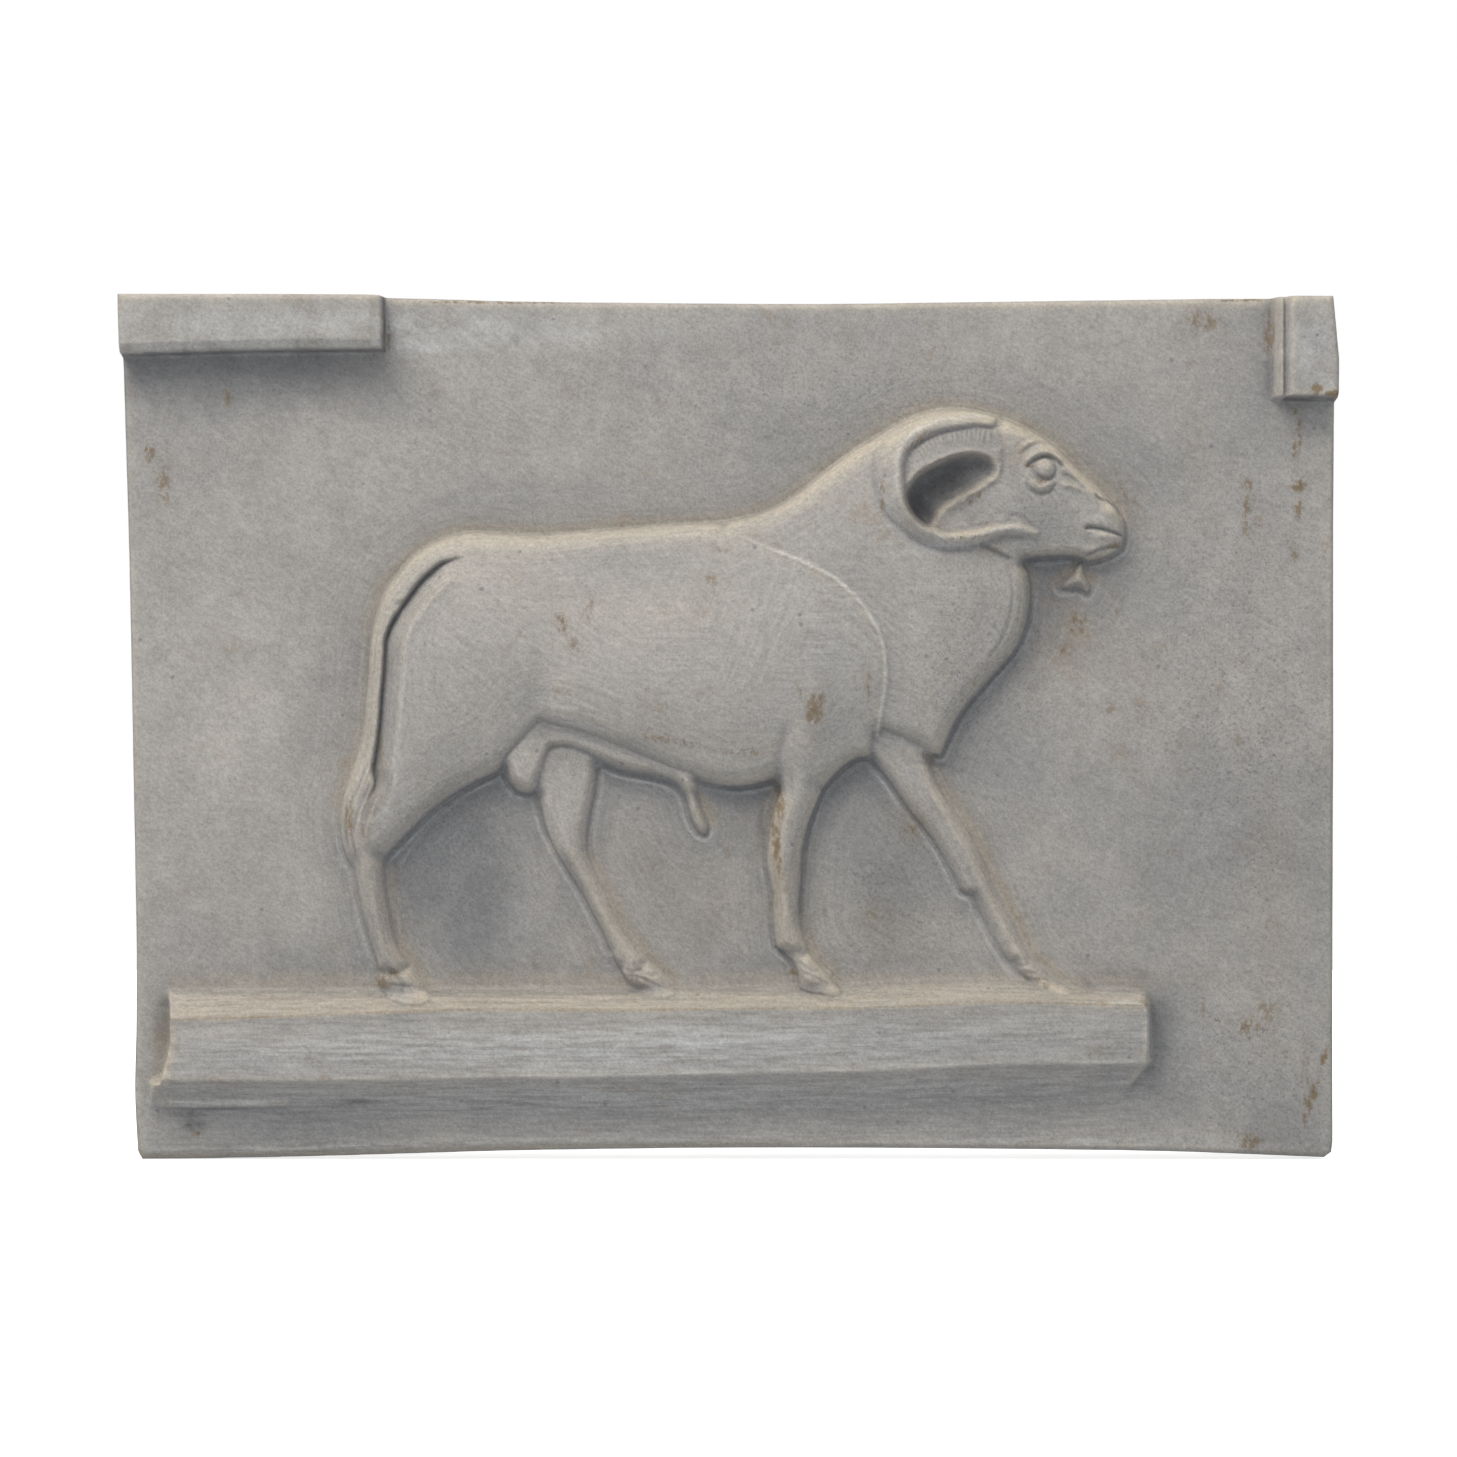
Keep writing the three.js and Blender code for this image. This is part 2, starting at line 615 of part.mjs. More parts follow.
// A wire bowed upwards across the pocket, so that a nail under its middle carries the panel.
function hangerRoute() {
  const y = PANEL_THICKNESS - WIRE_DEPTH;
  const { x, z, width } = POCKET;
  const reach = width / 2 - 9;
  const points = [
    [-reach + 3, -7.5],
    [-reach, -4.2],
    [-reach + 2.6, -1.4],
    [-20, 0],
    [-10, 4.6],
    [0, 6.4],
    [10, 4.6],
    [20, 0],
    [reach - 2.6, -1.4],
    [reach, -4.2],
    [reach - 3, -7.5],
  ];
  return new THREE.CatmullRomCurve3(
    points.map(([px, pz]) => new THREE.Vector3(x + px, y, z + pz)),
    false,
    "centripetal",
  );
}

function rod(radius, sides, steps) {
  const section = new THREE.Shape();
  section.absarc(0, 0, radius, 0, Math.PI * 2);
  return new THREE.ExtrudeGeometry(section, {
    extrudePath: hangerRoute(),
    steps,
    curveSegments: sides,
    bevelEnabled: false,
  });
}

// The lump of plaster that locks one leg of the wire into the pocket.
function dab(side) {
  const { x, z, width, height, depth } = POCKET;
  const middle = x + side * (width / 2 - GAP - DAB.width / 2);
  const floor = -PANEL_THICKNESS + depth - GAP;
  const shape = roundedRectangle(middle, z - 1, DAB.width, Math.min(DAB.height, height - 4), 5);
  const lump = loft([
    { points: inset(shape, 3.4), height: floor - DAB.thickness },
    { points: inset(shape, 1.4), height: floor - DAB.thickness + 1 },
    { points: inset(shape, 0.4), height: floor - DAB.thickness + 2.6 },
    { points: shape, height: floor },
  ]);
  const channel = toSolid(rod(WIRE_RADIUS + GAP, 4, 40));
  return toGeometry(toSolid(lump).subtract(channel));
}

function buildHanger() {
  add("hanger_wire", rod(WIRE_RADIUS, 5, 40), "wire");
  add("hanger_dab_left", dab(-1), "backing");
  add("hanger_dab_right", dab(1), "backing");
}

buildPanel();
buildRam();
buildScrim();
buildBacking();
buildHanger();

// The origin goes under the middle of the object, at its lowest edge.
const box = new THREE.Box3().setFromObject(group);
const middle = box.getCenter(new THREE.Vector3());
group.position.set(-middle.x, -middle.y, -box.min.z);

export default group;
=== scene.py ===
"""The looks of a plaster cast: a low relief of a ram striding along a ledge.

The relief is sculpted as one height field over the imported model's sunk ground, in drawing millimetres: x runs
right from the panel's middle line, z runs up from its lower edge, and the height stands out towards -Y. The
height field is then cut along the outlines of the CAD nodes, so that each node gets its own closed piece.
"""

import math

import bpy
import numpy as np
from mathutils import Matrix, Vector
from mathutils.geometry import delaunay_2d_cdt


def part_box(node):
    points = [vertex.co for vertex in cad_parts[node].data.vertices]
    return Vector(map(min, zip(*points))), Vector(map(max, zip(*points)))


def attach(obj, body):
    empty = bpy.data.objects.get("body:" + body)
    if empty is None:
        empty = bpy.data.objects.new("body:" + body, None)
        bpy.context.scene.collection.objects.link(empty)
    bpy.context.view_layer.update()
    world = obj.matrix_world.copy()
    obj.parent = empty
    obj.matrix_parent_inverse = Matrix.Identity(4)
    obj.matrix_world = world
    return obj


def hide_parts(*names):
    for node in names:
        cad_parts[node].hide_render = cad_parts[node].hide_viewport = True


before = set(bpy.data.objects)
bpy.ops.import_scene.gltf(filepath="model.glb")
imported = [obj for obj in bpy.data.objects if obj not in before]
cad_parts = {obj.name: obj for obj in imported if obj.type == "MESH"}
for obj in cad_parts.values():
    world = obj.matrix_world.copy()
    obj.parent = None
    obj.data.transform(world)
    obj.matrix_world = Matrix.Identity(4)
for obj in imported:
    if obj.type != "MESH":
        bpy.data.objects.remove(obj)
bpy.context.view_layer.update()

# ------------------------------------------------------------------ the drawing's place in the frame

MM = 0.001
DRAWING_LEFT = -152.9  # the panel's left end in the drawing
DRAWING_FOOT = -0.73  # its lowest edge
PANEL_LOW, PANEL_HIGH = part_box("face_panel")
BACK_LOW, BACK_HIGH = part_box("backing_coat")
GROUND_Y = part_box("ram_torso")[1].y  # the plane of the sunk ground
COAT_BACK = (GROUND_Y - PANEL_HIGH.y) / MM  # height of the joint between face coat and backing
PANEL_BACK = (GROUND_Y - BACK_HIGH.y) / MM  # height of the back of the panel
ROOT = -4.0  # how deep the forms are let into the panel

# ------------------------------------------------------------------ the sculpting grid

STEP = 0.25  # the size of a cell
REACH = 30.0  # distances are measured up to this
MARGIN = 4.0  # how far the grid runs beyond the panel


def to_drawing(x, z):
    """A place of the frame in the drawing."""
    return (x - PANEL_LOW.x) / MM + DRAWING_LEFT, (z - PANEL_LOW.z) / MM + DRAWING_FOOT


LEFT, FOOT = to_drawing(PANEL_LOW.x, PANEL_LOW.z)
RIGHT, TOP = to_drawing(PANEL_HIGH.x, PANEL_HIGH.z)
GRID_X = np.arange(LEFT - MARGIN, RIGHT + MARGIN, STEP)
GRID_Z = np.arange(FOOT - MARGIN, TOP + MARGIN, STEP)
X, Z = (grid.astype(np.float32) for grid in np.meshgrid(GRID_X, GRID_Z))


def window(points, reach):
    """The part of the grid within reach of some points."""
    low = np.min(points, axis=0) - reach
    high = np.max(points, axis=0) + reach
    c0, r0 = np.maximum(((low - (GRID_X[0], GRID_Z[0])) / STEP).astype(int), 0)
    c1, r1 = ((high - (GRID_X[0], GRID_Z[0])) / STEP).astype(int) + 2
    return slice(r0, max(r1, r0)), slice(c0, max(c1, c0))


def near(line, reach):
    """Distance to a line in every cell, how far along it the nearest point is, and its side (+1 is left)."""
    line = np.asarray(line, float)
    distance = np.full(X.shape, reach, np.float32)
    along = np.zeros(X.shape, np.float32)
    side = np.ones(X.shape, np.float32)
    lengths = np.hypot(*np.diff(line, axis=0).T)
    starts = np.concatenate([[0], np.cumsum(lengths)])
    for i, length in enumerate(lengths):
        if length < 1e-6:
            continue
        a, b = line[i], line[i + 1]
        rows, cols = window(line[i : i + 2], reach)
        dx = X[rows, cols] - a[0]
        dz = Z[rows, cols] - a[1]
        ux, uz = (b - a) / length
        run = np.clip(dx * ux + dz * uz, 0, length)
        gap = np.hypot(dx - run * ux, dz - run * uz)
        closer = gap < distance[rows, cols]
        distance[rows, cols][closer] = gap[closer]
        along[rows, cols][closer] = ((starts[i] + run) / starts[-1])[closer]
        side[rows, cols][closer] = np.sign(ux * dz - uz * dx)[closer]
    return distance, along, side


def inside(loop):
    """True in the cells that a closed loop goes round."""
    crossings = np.zeros(X.shape, bool)
    for (ax, az), (bx, bz) in zip(loop, np.roll(loop, -1, axis=0)):
        if az == bz:
            continue
        r0, r1 = sorted(math.ceil((z - GRID_Z[0]) / STEP) for z in (az, bz))
        rows = np.clip(np.arange(r0, r1), 0, X.shape[0] - 1)
        cuts = ax + (GRID_Z[rows] - az) * (bx - ax) / (bz - az)
        cols = np.clip(np.ceil((cuts - GRID_X[0]) / STEP).astype(int), 0, X.shape[1] - 1)
        np.logical_xor.at(crossings, (rows, cols), True)
    return np.logical_xor.accumulate(crossings, axis=1)


def signed(loop, reach=REACH):
    """Distance to a closed loop, positive inside it."""
    distance = near(np.vstack([loop, loop[:1]]), reach)[0]
    return np.where(inside(loop), distance, -distance)


def ease(low, high, value):
    """A smooth step from 0 at low to 1 at high."""
    t = np.clip((value - low) / (high - low), 0, 1)
    return t * t * (3 - 2 * t)


def dome(depth, width):
    """Rises from 0 at an edge to 1 at width inside it, as a quarter of an ellipse."""
    t = 1 - np.clip(depth / width, 0, 1)
    return np.sqrt(1 - t * t)


def smooth_line(points, spacing=0.5):
    """A Catmull-Rom curve through some points."""
    p = np.asarray(points, float)
    p = np.vstack([2 * p[0] - p[1], p, 2 * p[-1] - p[-2]])
    out = []
    for i in range(1, len(p) - 2):
        count = max(2, int(np.hypot(*(p[i + 1] - p[i])) / spacing))
        t = (np.arange(count) / count)[:, None]
        a = 2 * p[i]
        b = p[i + 1] - p[i - 1]
        c = 2 * p[i - 1] - 5 * p[i] + 4 * p[i + 1] - p[i + 2]
        d = 3 * p[i] - p[i - 1] - 3 * p[i + 1] + p[i + 2]
        out.append((a + b * t + c * t**2 + d * t**3) / 2)
    return np.vstack(out + [p[-2][None]])


def spectrum(sigma_x, sigma_z, turn=0.0):
    """A Gaussian filter's response over the grid's frequencies, turned by an angle."""
    kz = np.fft.fftfreq(X.shape[0], STEP)[:, None]
    kx = np.fft.rfftfreq(X.shape[1], STEP)[None, :]
    u = kx * math.cos(turn) + kz * math.sin(turn)
    v = kz * math.cos(turn) - kx * math.sin(turn)
    return np.exp(-2 * math.pi**2 * ((u * sigma_x) ** 2 + (v * sigma_z) ** 2))


def blur(field, sigma):
    """A field smoothed by a Gaussian of some millimetres."""
    return np.fft.irfft2(np.fft.rfft2(field) * spectrum(sigma, sigma), X.shape).astype(np.float32)


def noise(size_x, size_z, seed, turn=0.0):
    """Smooth noise with a mean of 0 and a spread of 1."""
    white = np.random.default_rng(seed).standard_normal(X.shape)
    field = np.fft.irfft2(np.fft.rfft2(white) * spectrum(size_x, size_z, turn), X.shape)
    return (field / field.std()).astype(np.float32)


def bell(value, width):
    """1 where a value is 0, fading away over a width on both sides."""
    return np.exp(-((value / width) ** 2))


def ring(line, width, fade=0.12):
    """1 on a line, fading away over a width on both sides, and over a part of its length at its ends."""
    distance, along, _ = near(line, 4 * width)
    ends = ease(0, fade, along) * ease(0, fade, 1 - along) if fade else 1.0
    return ends * bell(distance, width)


def swell(x, z, across, up, turn=0.0, cells=...):
    """A soft bump of height 1, turned anticlockwise by degrees, over the grid or over some of its cells."""
    a = math.radians(turn)
    dx, dz = X[cells] - x, Z[cells] - z
    u = dx * math.cos(a) + dz * math.sin(a)
    v = dz * math.cos(a) - dx * math.sin(a)
    return np.exp(-((u / across) ** 2) - (v / up) ** 2)


# ------------------------------------------------------------------ outlines of the CAD nodes


def cad_loop(name, front=False):
    """The outline of a node's flat back, or of its flat front, in drawing millimetres."""
    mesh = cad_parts[name].data
    co = np.array([v.co for v in mesh.vertices])
    keys = np.round(co / (2e-3 * MM)).astype(int)
    merged = np.unique(keys, axis=0, return_inverse=True)[1].ravel()
    level = co[:, 1].min() if front else co[:, 1].max()
    mesh.calc_loop_triangles()
    corners = np.array([t.vertices for t in mesh.loop_triangles])
    flat = corners[(np.abs(co[corners, 1] - level) < 5e-3 * MM).all(axis=1)]
    place = {int(m): c for m, c in zip(merged, co)}
    edges = {(int(merged[a]), int(merged[b])) for t in flat for a, b in zip(t, np.roll(t, -1))}
    follow = {a: b for a, b in edges if (b, a) not in edges}
    loops = []
    while follow:
        start = next(iter(sorted(follow)))
        chain = [start]
        while chain[-1] in follow:
            chain.append(follow.pop(chain[-1]))
        loops.append(chain[:-1])
    longest = max(loops, key=len)
    return np.array([to_drawing(place[v][0], place[v][2]) for v in longest])


def trued(loop):
    """Lets the panel's left end and the left half of its top run out by up to a millimetre."""
    x, z = loop.T
    out = loop.copy()
    out[:, 0] -= (0.5 + 0.8 * ease(50, 5, z)) * (x < -140)
    out[:, 1] += 0.5 * ease(30, -40, x) * (z > 195)
    return out


RAM_NODES = sorted(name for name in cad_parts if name.startswith("ram_"))
BLOCKS = ["upper_left_block", "upper_right_block"]
OUTER = trued(cad_loop("face_panel"))
LOOPS = {name: cad_loop(name) for name in RAM_NODES + BLOCKS + ["ledge"]}
FACES = {name: cad_loop(name, front=True) for name in BLOCKS + ["ledge"]}

# ------------------------------------------------------------------ the forms of the relief

BODY = [
    "ram_torso", "ram_tail", "ram_neck", "ram_head", "ram_horn", "ram_ear", "ram_eye",
    "ram_near_hind_leg", "ram_near_foreleg", "ram_near_hind_hoof", "ram_near_fore_hoof",
]
BODY_EDGE = 5.0  # how high the body's outline is rolled up
BODY_CROWN = 3.3  # how much the body rises inside that
HOLLOW_DEPTH = 5.8  # of the horn's hollow
LEDGE_HEIGHT = 6.5
BLOCK_HEIGHT = 8.4
RIGHT_BLOCK_LEVEL = 189.2  # where the right block drops sheer to the ground


def union(names, fillers=(), others=(), reach=REACH):
    """Distance inside the joint outline of several forms. Edges that touch another form don't count."""
    own = [LOOPS[n] for n in names] + [np.array(f, float) for f in fillers]
    around = own + [LOOPS[n] for n in others]
    masks = [inside(loop) for loop in around]
    everything = closed(masks) | closed(masks, 1.3)
    buried = blur(everything.astype(np.float32), 0.8) > 0.85
    distance = np.full(X.shape, reach, np.float32)
    joints = np.zeros(X.shape, bool)
    for loop in own:
        fine = densify(loop, 0.8)
        ends = np.roll(fine, -1, axis=0)
        middle = (fine + ends) / 2
        rows = ((middle[:, 1] - GRID_Z[0]) / STEP).round().astype(int)
        cols = ((middle[:, 0] - GRID_X[0]) / STEP).round().astype(int)
        for a, b, hidden in zip(fine, ends, buried[rows, cols]):
            edge = np.array([a, b])
            r, c = window(edge, 1.5 if hidden else reach)
            gap = segment_distance(edge, X[r, c], Z[r, c])
            if hidden:
                joints[r, c] |= gap < 1.4
            else:
                np.minimum(distance[r, c], gap, out=distance[r, c])
    solid = closed(masks[: len(own)]) | (everything & joints)
    return np.where(solid, distance, -distance)


def closed(masks, radius=0.35):
    """Several masks joined, with the narrow gaps between them filled."""
    return blur(np.any(masks, axis=0).astype(np.float32), radius) > 0.5


def densify(loop, spacing):
    """A closed outline with points added, so that hardly any are further apart than the spacing."""
    points = []
    for a, b in zip(loop, np.roll(loop, -1, axis=0)):
        count = max(1, int(np.hypot(*(b - a)) / spacing))
        points.extend(a + (b - a) * k / count for k in range(count))
    return np.array(points)


def segment_distance(edge, x, z):
    """Distance from some places to a straight edge."""
    a, b = edge
    length = max(np.hypot(*(b - a)), 1e-9)
    ux, uz = (b - a) / length
    run = np.clip((x - a[0]) * ux + (z - a[1]) * uz, 0, length)
    return np.hypot(x - a[0] - run * ux, z - a[1] - run * uz)


TAIL_LINE = smooth_line([
    (-66, 149.7), (-70, 149), (-73, 148), (-75.4, 146.2), (-78, 143.8), (-80.5, 140.6), (-83, 137),
    (-85.2, 133.6), (-86.8, 129.5), (-87.1, 125), (-87.4, 120), (-87.9, 115), (-88.2, 110), (-88.7, 105),
    (-89.4, 100), (-89.9, 97), (-89.4, 93), (-91.5, 89),
])
TAIL_BAND = [
    (-68, 150.5), (-74, 148.5), (-79, 144), (-84, 137), (-88, 130), (-89, 115), (-91, 99), (-92, 90),
    (-93, 84), (-90, 88), (-86, 94), (-80, 100), (-78, 120), (-78, 138), (-70, 148),
]
TAIL_STRANDS = [
    smooth_line([(-91, 99), (-93.4, 93), (-96, 87), (-97, 82), (-96, 77)]),
    smooth_line([(-90, 95), (-92, 90), (-94, 85), (-95, 80), (-94.2, 75)]),
    smooth_line([(-89, 91), (-90.6, 87), (-92, 82.6), (-92.6, 78)]),
]
CAPE_LINE = smooth_line([
    (-4.2, 156.4), (0, 155.3), (5, 153.3), (10, 151.3), (15, 149.4), (20, 147), (25, 144.2), (30, 139.8),
    (33, 136), (35, 132.5), (36.4, 129.5), (37.2, 125.5), (37.5, 121), (37.2, 116), (36.2, 110.5),
    (35.4, 105.5),
])
HORN_HEART = [(44, 158), (38, 163), (40, 174), (50, 181), (62, 181), (67, 174), (64, 163), (54, 155)]


def sculpt_ground():
    """The sunk ground: flat, but never quite level."""
    return 0.28 * noise(22, 14, 3) + 0.12 * noise(7, 5, 4) + 0.03 * noise(2.2, 1.6, 5)


def sculpt_body():
    """Everything that stands highest, from tail to muzzle, and the distance inside its outline."""
    depth = union(BODY, [TAIL_BAND, HORN_HEART])
    head = ease(56, 74, X) * ease(140, 150, Z)
    width = 5.0 - 2.4 * head
    crown = 1 - (1 - np.clip(blur(np.maximum(depth, 0), 2.2) / 26, 0, 1)) ** 2
    field = BODY_EDGE * dome(blur(np.maximum(depth, 0), 0.6), width) + (BODY_CROWN - 0.4 * head) * crown

    # Muscle under the skin, which dies away towards the outline.
    muscle = sum(height * swell(*place) for height, place in [
        (1.1, (-71, 121, 15, 25, -8)),
        (0.8, (-62, 142, 16, 10)),
        (-1.3, (-50, 114, 5.5, 12, -10)),
        (0.9, (-20, 112, 30, 11, -6)),
        (1.0, (17, 126, 15, 20, 12)),
        (-0.7, (-25, 142, 26, 8)),
        (-0.9, (28, 104, 5, 7, -30)),
        (1.0, (17, 104, 4.2, 11, -8)),
        (0.5, (56, 131, 13, 20, -20)),
    ])
    field += muscle * ease(0, 6, depth)
    field -= 0.7 * ring(smooth_line([(10.6, 94), (11.2, 99), (12.4, 105), (14, 110)]), 1.5, 0.3)
    for i in range(4):
        fold = [(-49 + 2 * i, 111 + 2.2 * i), (-42 + 2 * i, 110.6 + 1.7 * i), (-30 + 2 * i, 106.5 + 1.3 * i)]
        field -= 0.14 * ring(smooth_line(fold), 0.7, 0.3)

    # The cape's edge: the shoulder rounds off onto a neck that starts lower.
    gap, along, side = near(CAPE_LINE, 16)
    ends = ease(0, 0.12, along)
    low_side = 0.9 * ease(15, 2, gap)
    field -= ends * np.where(side < 0, 0.75 * np.exp(-gap / 1.1), low_side)
    field += 0.5 * ends * bell(gap, 0.5)

    # The tail hangs beside the thigh, and a sloping band leads out of the groove to the thigh's face.
    gap, along, side = near(TAIL_LINE, 7)
    ends = ease(0, 0.16, along) * (1 - 0.8 * ease(0.88, 1, along))
    band = np.clip(1 - gap / 4.8, 0, 1) ** 1.3
    field -= ends * np.where(side > 0, 2.7 * band, 2.4 * bell(gap, 0.5))
    field += ends * 0.35 * bell(gap - 5.2, 0.8) * (side > 0)
    cord = ends * ease(-5.5, -4, -gap) * (side < 0)
    field += cord * (0.16 * np.sin(gap * 4.2) + 0.3 * noise(0.9, 0.7, 17) * swell(-83.6, 138.5, 3, 4.5, -30))
    for strand in TAIL_STRANDS:
        field += 0.5 * ring(strand + (0.6, 0), 0.5, 0.2) - 0.5 * ring(strand, 0.4, 0.2)
    return field, depth


def sculpt_form(names, height, width, crown=0.0, others=(), trim=None):
    """A low form with rolled edges. A trim line cuts off what is on its right."""
    depth = union(names, others=others, reach=12)
    if trim:
        gap, _, side = near(smooth_line(trim), 12)
        depth = np.where(gap < 12, np.minimum(depth, side * gap), depth)
    soft = blur(np.maximum(depth, 0), 0.4)
    roll = np.sin(np.pi / 2 * np.clip(soft / width, 0, 1))
    return height * roll + crown * dome(soft, 3 * width), depth


def tapered(name, height):
    """A ruled slope from the node's foot outline up to the outline of its flat front."""
    foot = signed(push_out(LOOPS[name]), 12)
    face = signed(push_out(FACES[name]), 12)
    rise = foot / np.maximum(foot - np.minimum(face, 0), 1e-3)
    return np.where(foot > 0, height * np.clip(rise, 0, 1), 0).astype(np.float32), foot, face


def push_out(loop):
    """Where an outline runs along the panel's edge, moves it past the edge, so that the edge rules there."""
    out = loop.copy()
    out[loop[:, 0] < LEFT + 2.2, 0] -= 3
    out[loop[:, 0] > RIGHT - 2.2, 0] += 3
    out[loop[:, 1] > TOP - 2.2, 1] += 3
    return out


HORN_CREST = smooth_line([
    (67.5, 184.2), (62, 184.9), (56, 184.6), (50, 183.4), (45.2, 181.2), (41.6, 177.6), (40.2, 173),
    (40.3, 168), (41.1, 163.6), (43.8, 159.4), (47.6, 156), (51.6, 154.4), (56, 154.2), (61, 155),
    (66, 156.4), (70.5, 156.6), (74.5, 155.5),
])


def sculpt_horn(field):
    """A thick ridge that curls round a deep hollow, with a fluted face between the two."""
    gap, along, side = near(HORN_CREST, 9)
    bend = ease(0.28, 0.42, along)
    outer_half = 3.1 + 2.4 * bend * (1 - ease(0.42, 0.72, along)) - 1.4 * ease(0.6, 1, along)
    inner_half = 3.0 - 1.1 * bend - 0.6 * ease(0.7, 1, along)
    half = np.where(side < 0, outer_half, inner_half)
    t = np.clip(gap / half, 0, 1)
    tube = np.where(side < 0, 1 - t**1.35, (1 - t**2) ** 0.6)
    rise = 1.5 + 1.1 * bend - 1.0 * ease(0.8, 1, along)
    field += rise * ease(-0.02, 0.06, along) * tube
    outer = (side < 0) & (along > 0.24) & (along < 0.97)
    field -= 0.3 * bell(gap - half, 0.7) * outer

    # The fluted face: a groove under the crest, radial flutes, and a lip round the hollow.
    groove = smooth_line([
        (67, 182.9), (64, 182), (59.5, 182.2), (54.8, 181.5), (50, 180.2), (46.2, 178.2), (43.2, 175.8),
        (41.2, 172.4),
    ])
    groove_gap, groove_along, groove_side = near(groove, 9)
    fade = ease(0.02, 0.1, groove_along) * ease(0, 0.3, 1 - groove_along)
    field -= 0.8 * fade * bell(groove_gap, 0.45)
    below = (groove_side > 0) & (groove_gap < 5.5)
    field -= np.where(below, 0.45 * fade * np.clip(groove_gap / 4, 0, 1), 0)
    flutes = np.cos(2 * np.pi * groove_along * 23) * bell(groove_gap - 2.1, 1.4)
    field += np.where(below, 0.42 * fade * flutes * (groove_along < 0.85), 0)

    hollow = smooth_line([
        (63.4, 173.9), (60.5, 175), (57, 175), (54, 174.3), (50.5, 172.9), (47.3, 171.3), (44.7, 169),
        (43.1, 166), (43, 162.8), (44.2, 160), (46.3, 157.9), (48.4, 157.1), (49.5, 158.8), (51.1, 161),
        (53.4, 162.9), (56.4, 164.5), (59.2, 166), (62, 167.8), (64, 169.6), (64.6, 171.6), (63.4, 173.9),
    ])
    depth = signed(hollow[:-1], 10)
    field -= HOLLOW_DEPTH * dome(blur(np.maximum(depth, 0), 0.35), 3.0) * (1 - 0.35 * ease(50, 64, X))
    field += 0.35 * bell(depth + 0.9, 0.7) * (Z > 168)
    return field


def sculpt_ear(field):
    """A flap that starts behind the eye: a beaded rim along the hollow, and a lap that sinks to the horn."""
    rim_line = smooth_line([
        (65.6, 171), (64.5, 169.8), (62, 167.9), (58.9, 165.8), (55.8, 164.3), (52.8, 162.7), (50.7, 161.1),
        (49.3, 159.4), (49, 157.7),
    ])
    lap = np.vstack([rim_line, [(51, 156.3), (56, 156), (62, 157), (67, 159), (68.5, 164), (68, 169)]])
    field -= 1.7 * dome(np.maximum(signed(lap, 6), 0), 3.4) * ease(69, 58, X)
    gap, along, _ = near(rim_line, 5)
    beads = 0.8 + 0.2 * np.cos(2 * np.pi * along * 7) + 0.12 * np.cos(2 * np.pi * along * 12 + 1)
    field += 0.85 * beads * bell(gap, 0.8) * ease(0, 0.12, along)
    return field


UPPER_LID = smooth_line([
    (72.3, 171.2), (72.9, 172.6), (74.7, 174.1), (77.2, 174.8), (79.4, 174.2), (80.9, 172.9), (82, 171.6),
])
BROW = smooth_line([
    (70.9, 174.2), (71.6, 175.6), (73.6, 177.3), (76.6, 178.1), (79.6, 177.5), (81.6, 175.4), (82.8, 173.4),
])
JAW = smooth_line([(60.5, 153.4), (63.6, 152), (66.6, 150.4), (69, 149.6)])


def crease(width, deep, dark, points):
    """An engraved line: where it runs, its width, how deep it is and how dark with grime and painted shade."""
    return smooth_line(points), width, deep, dark


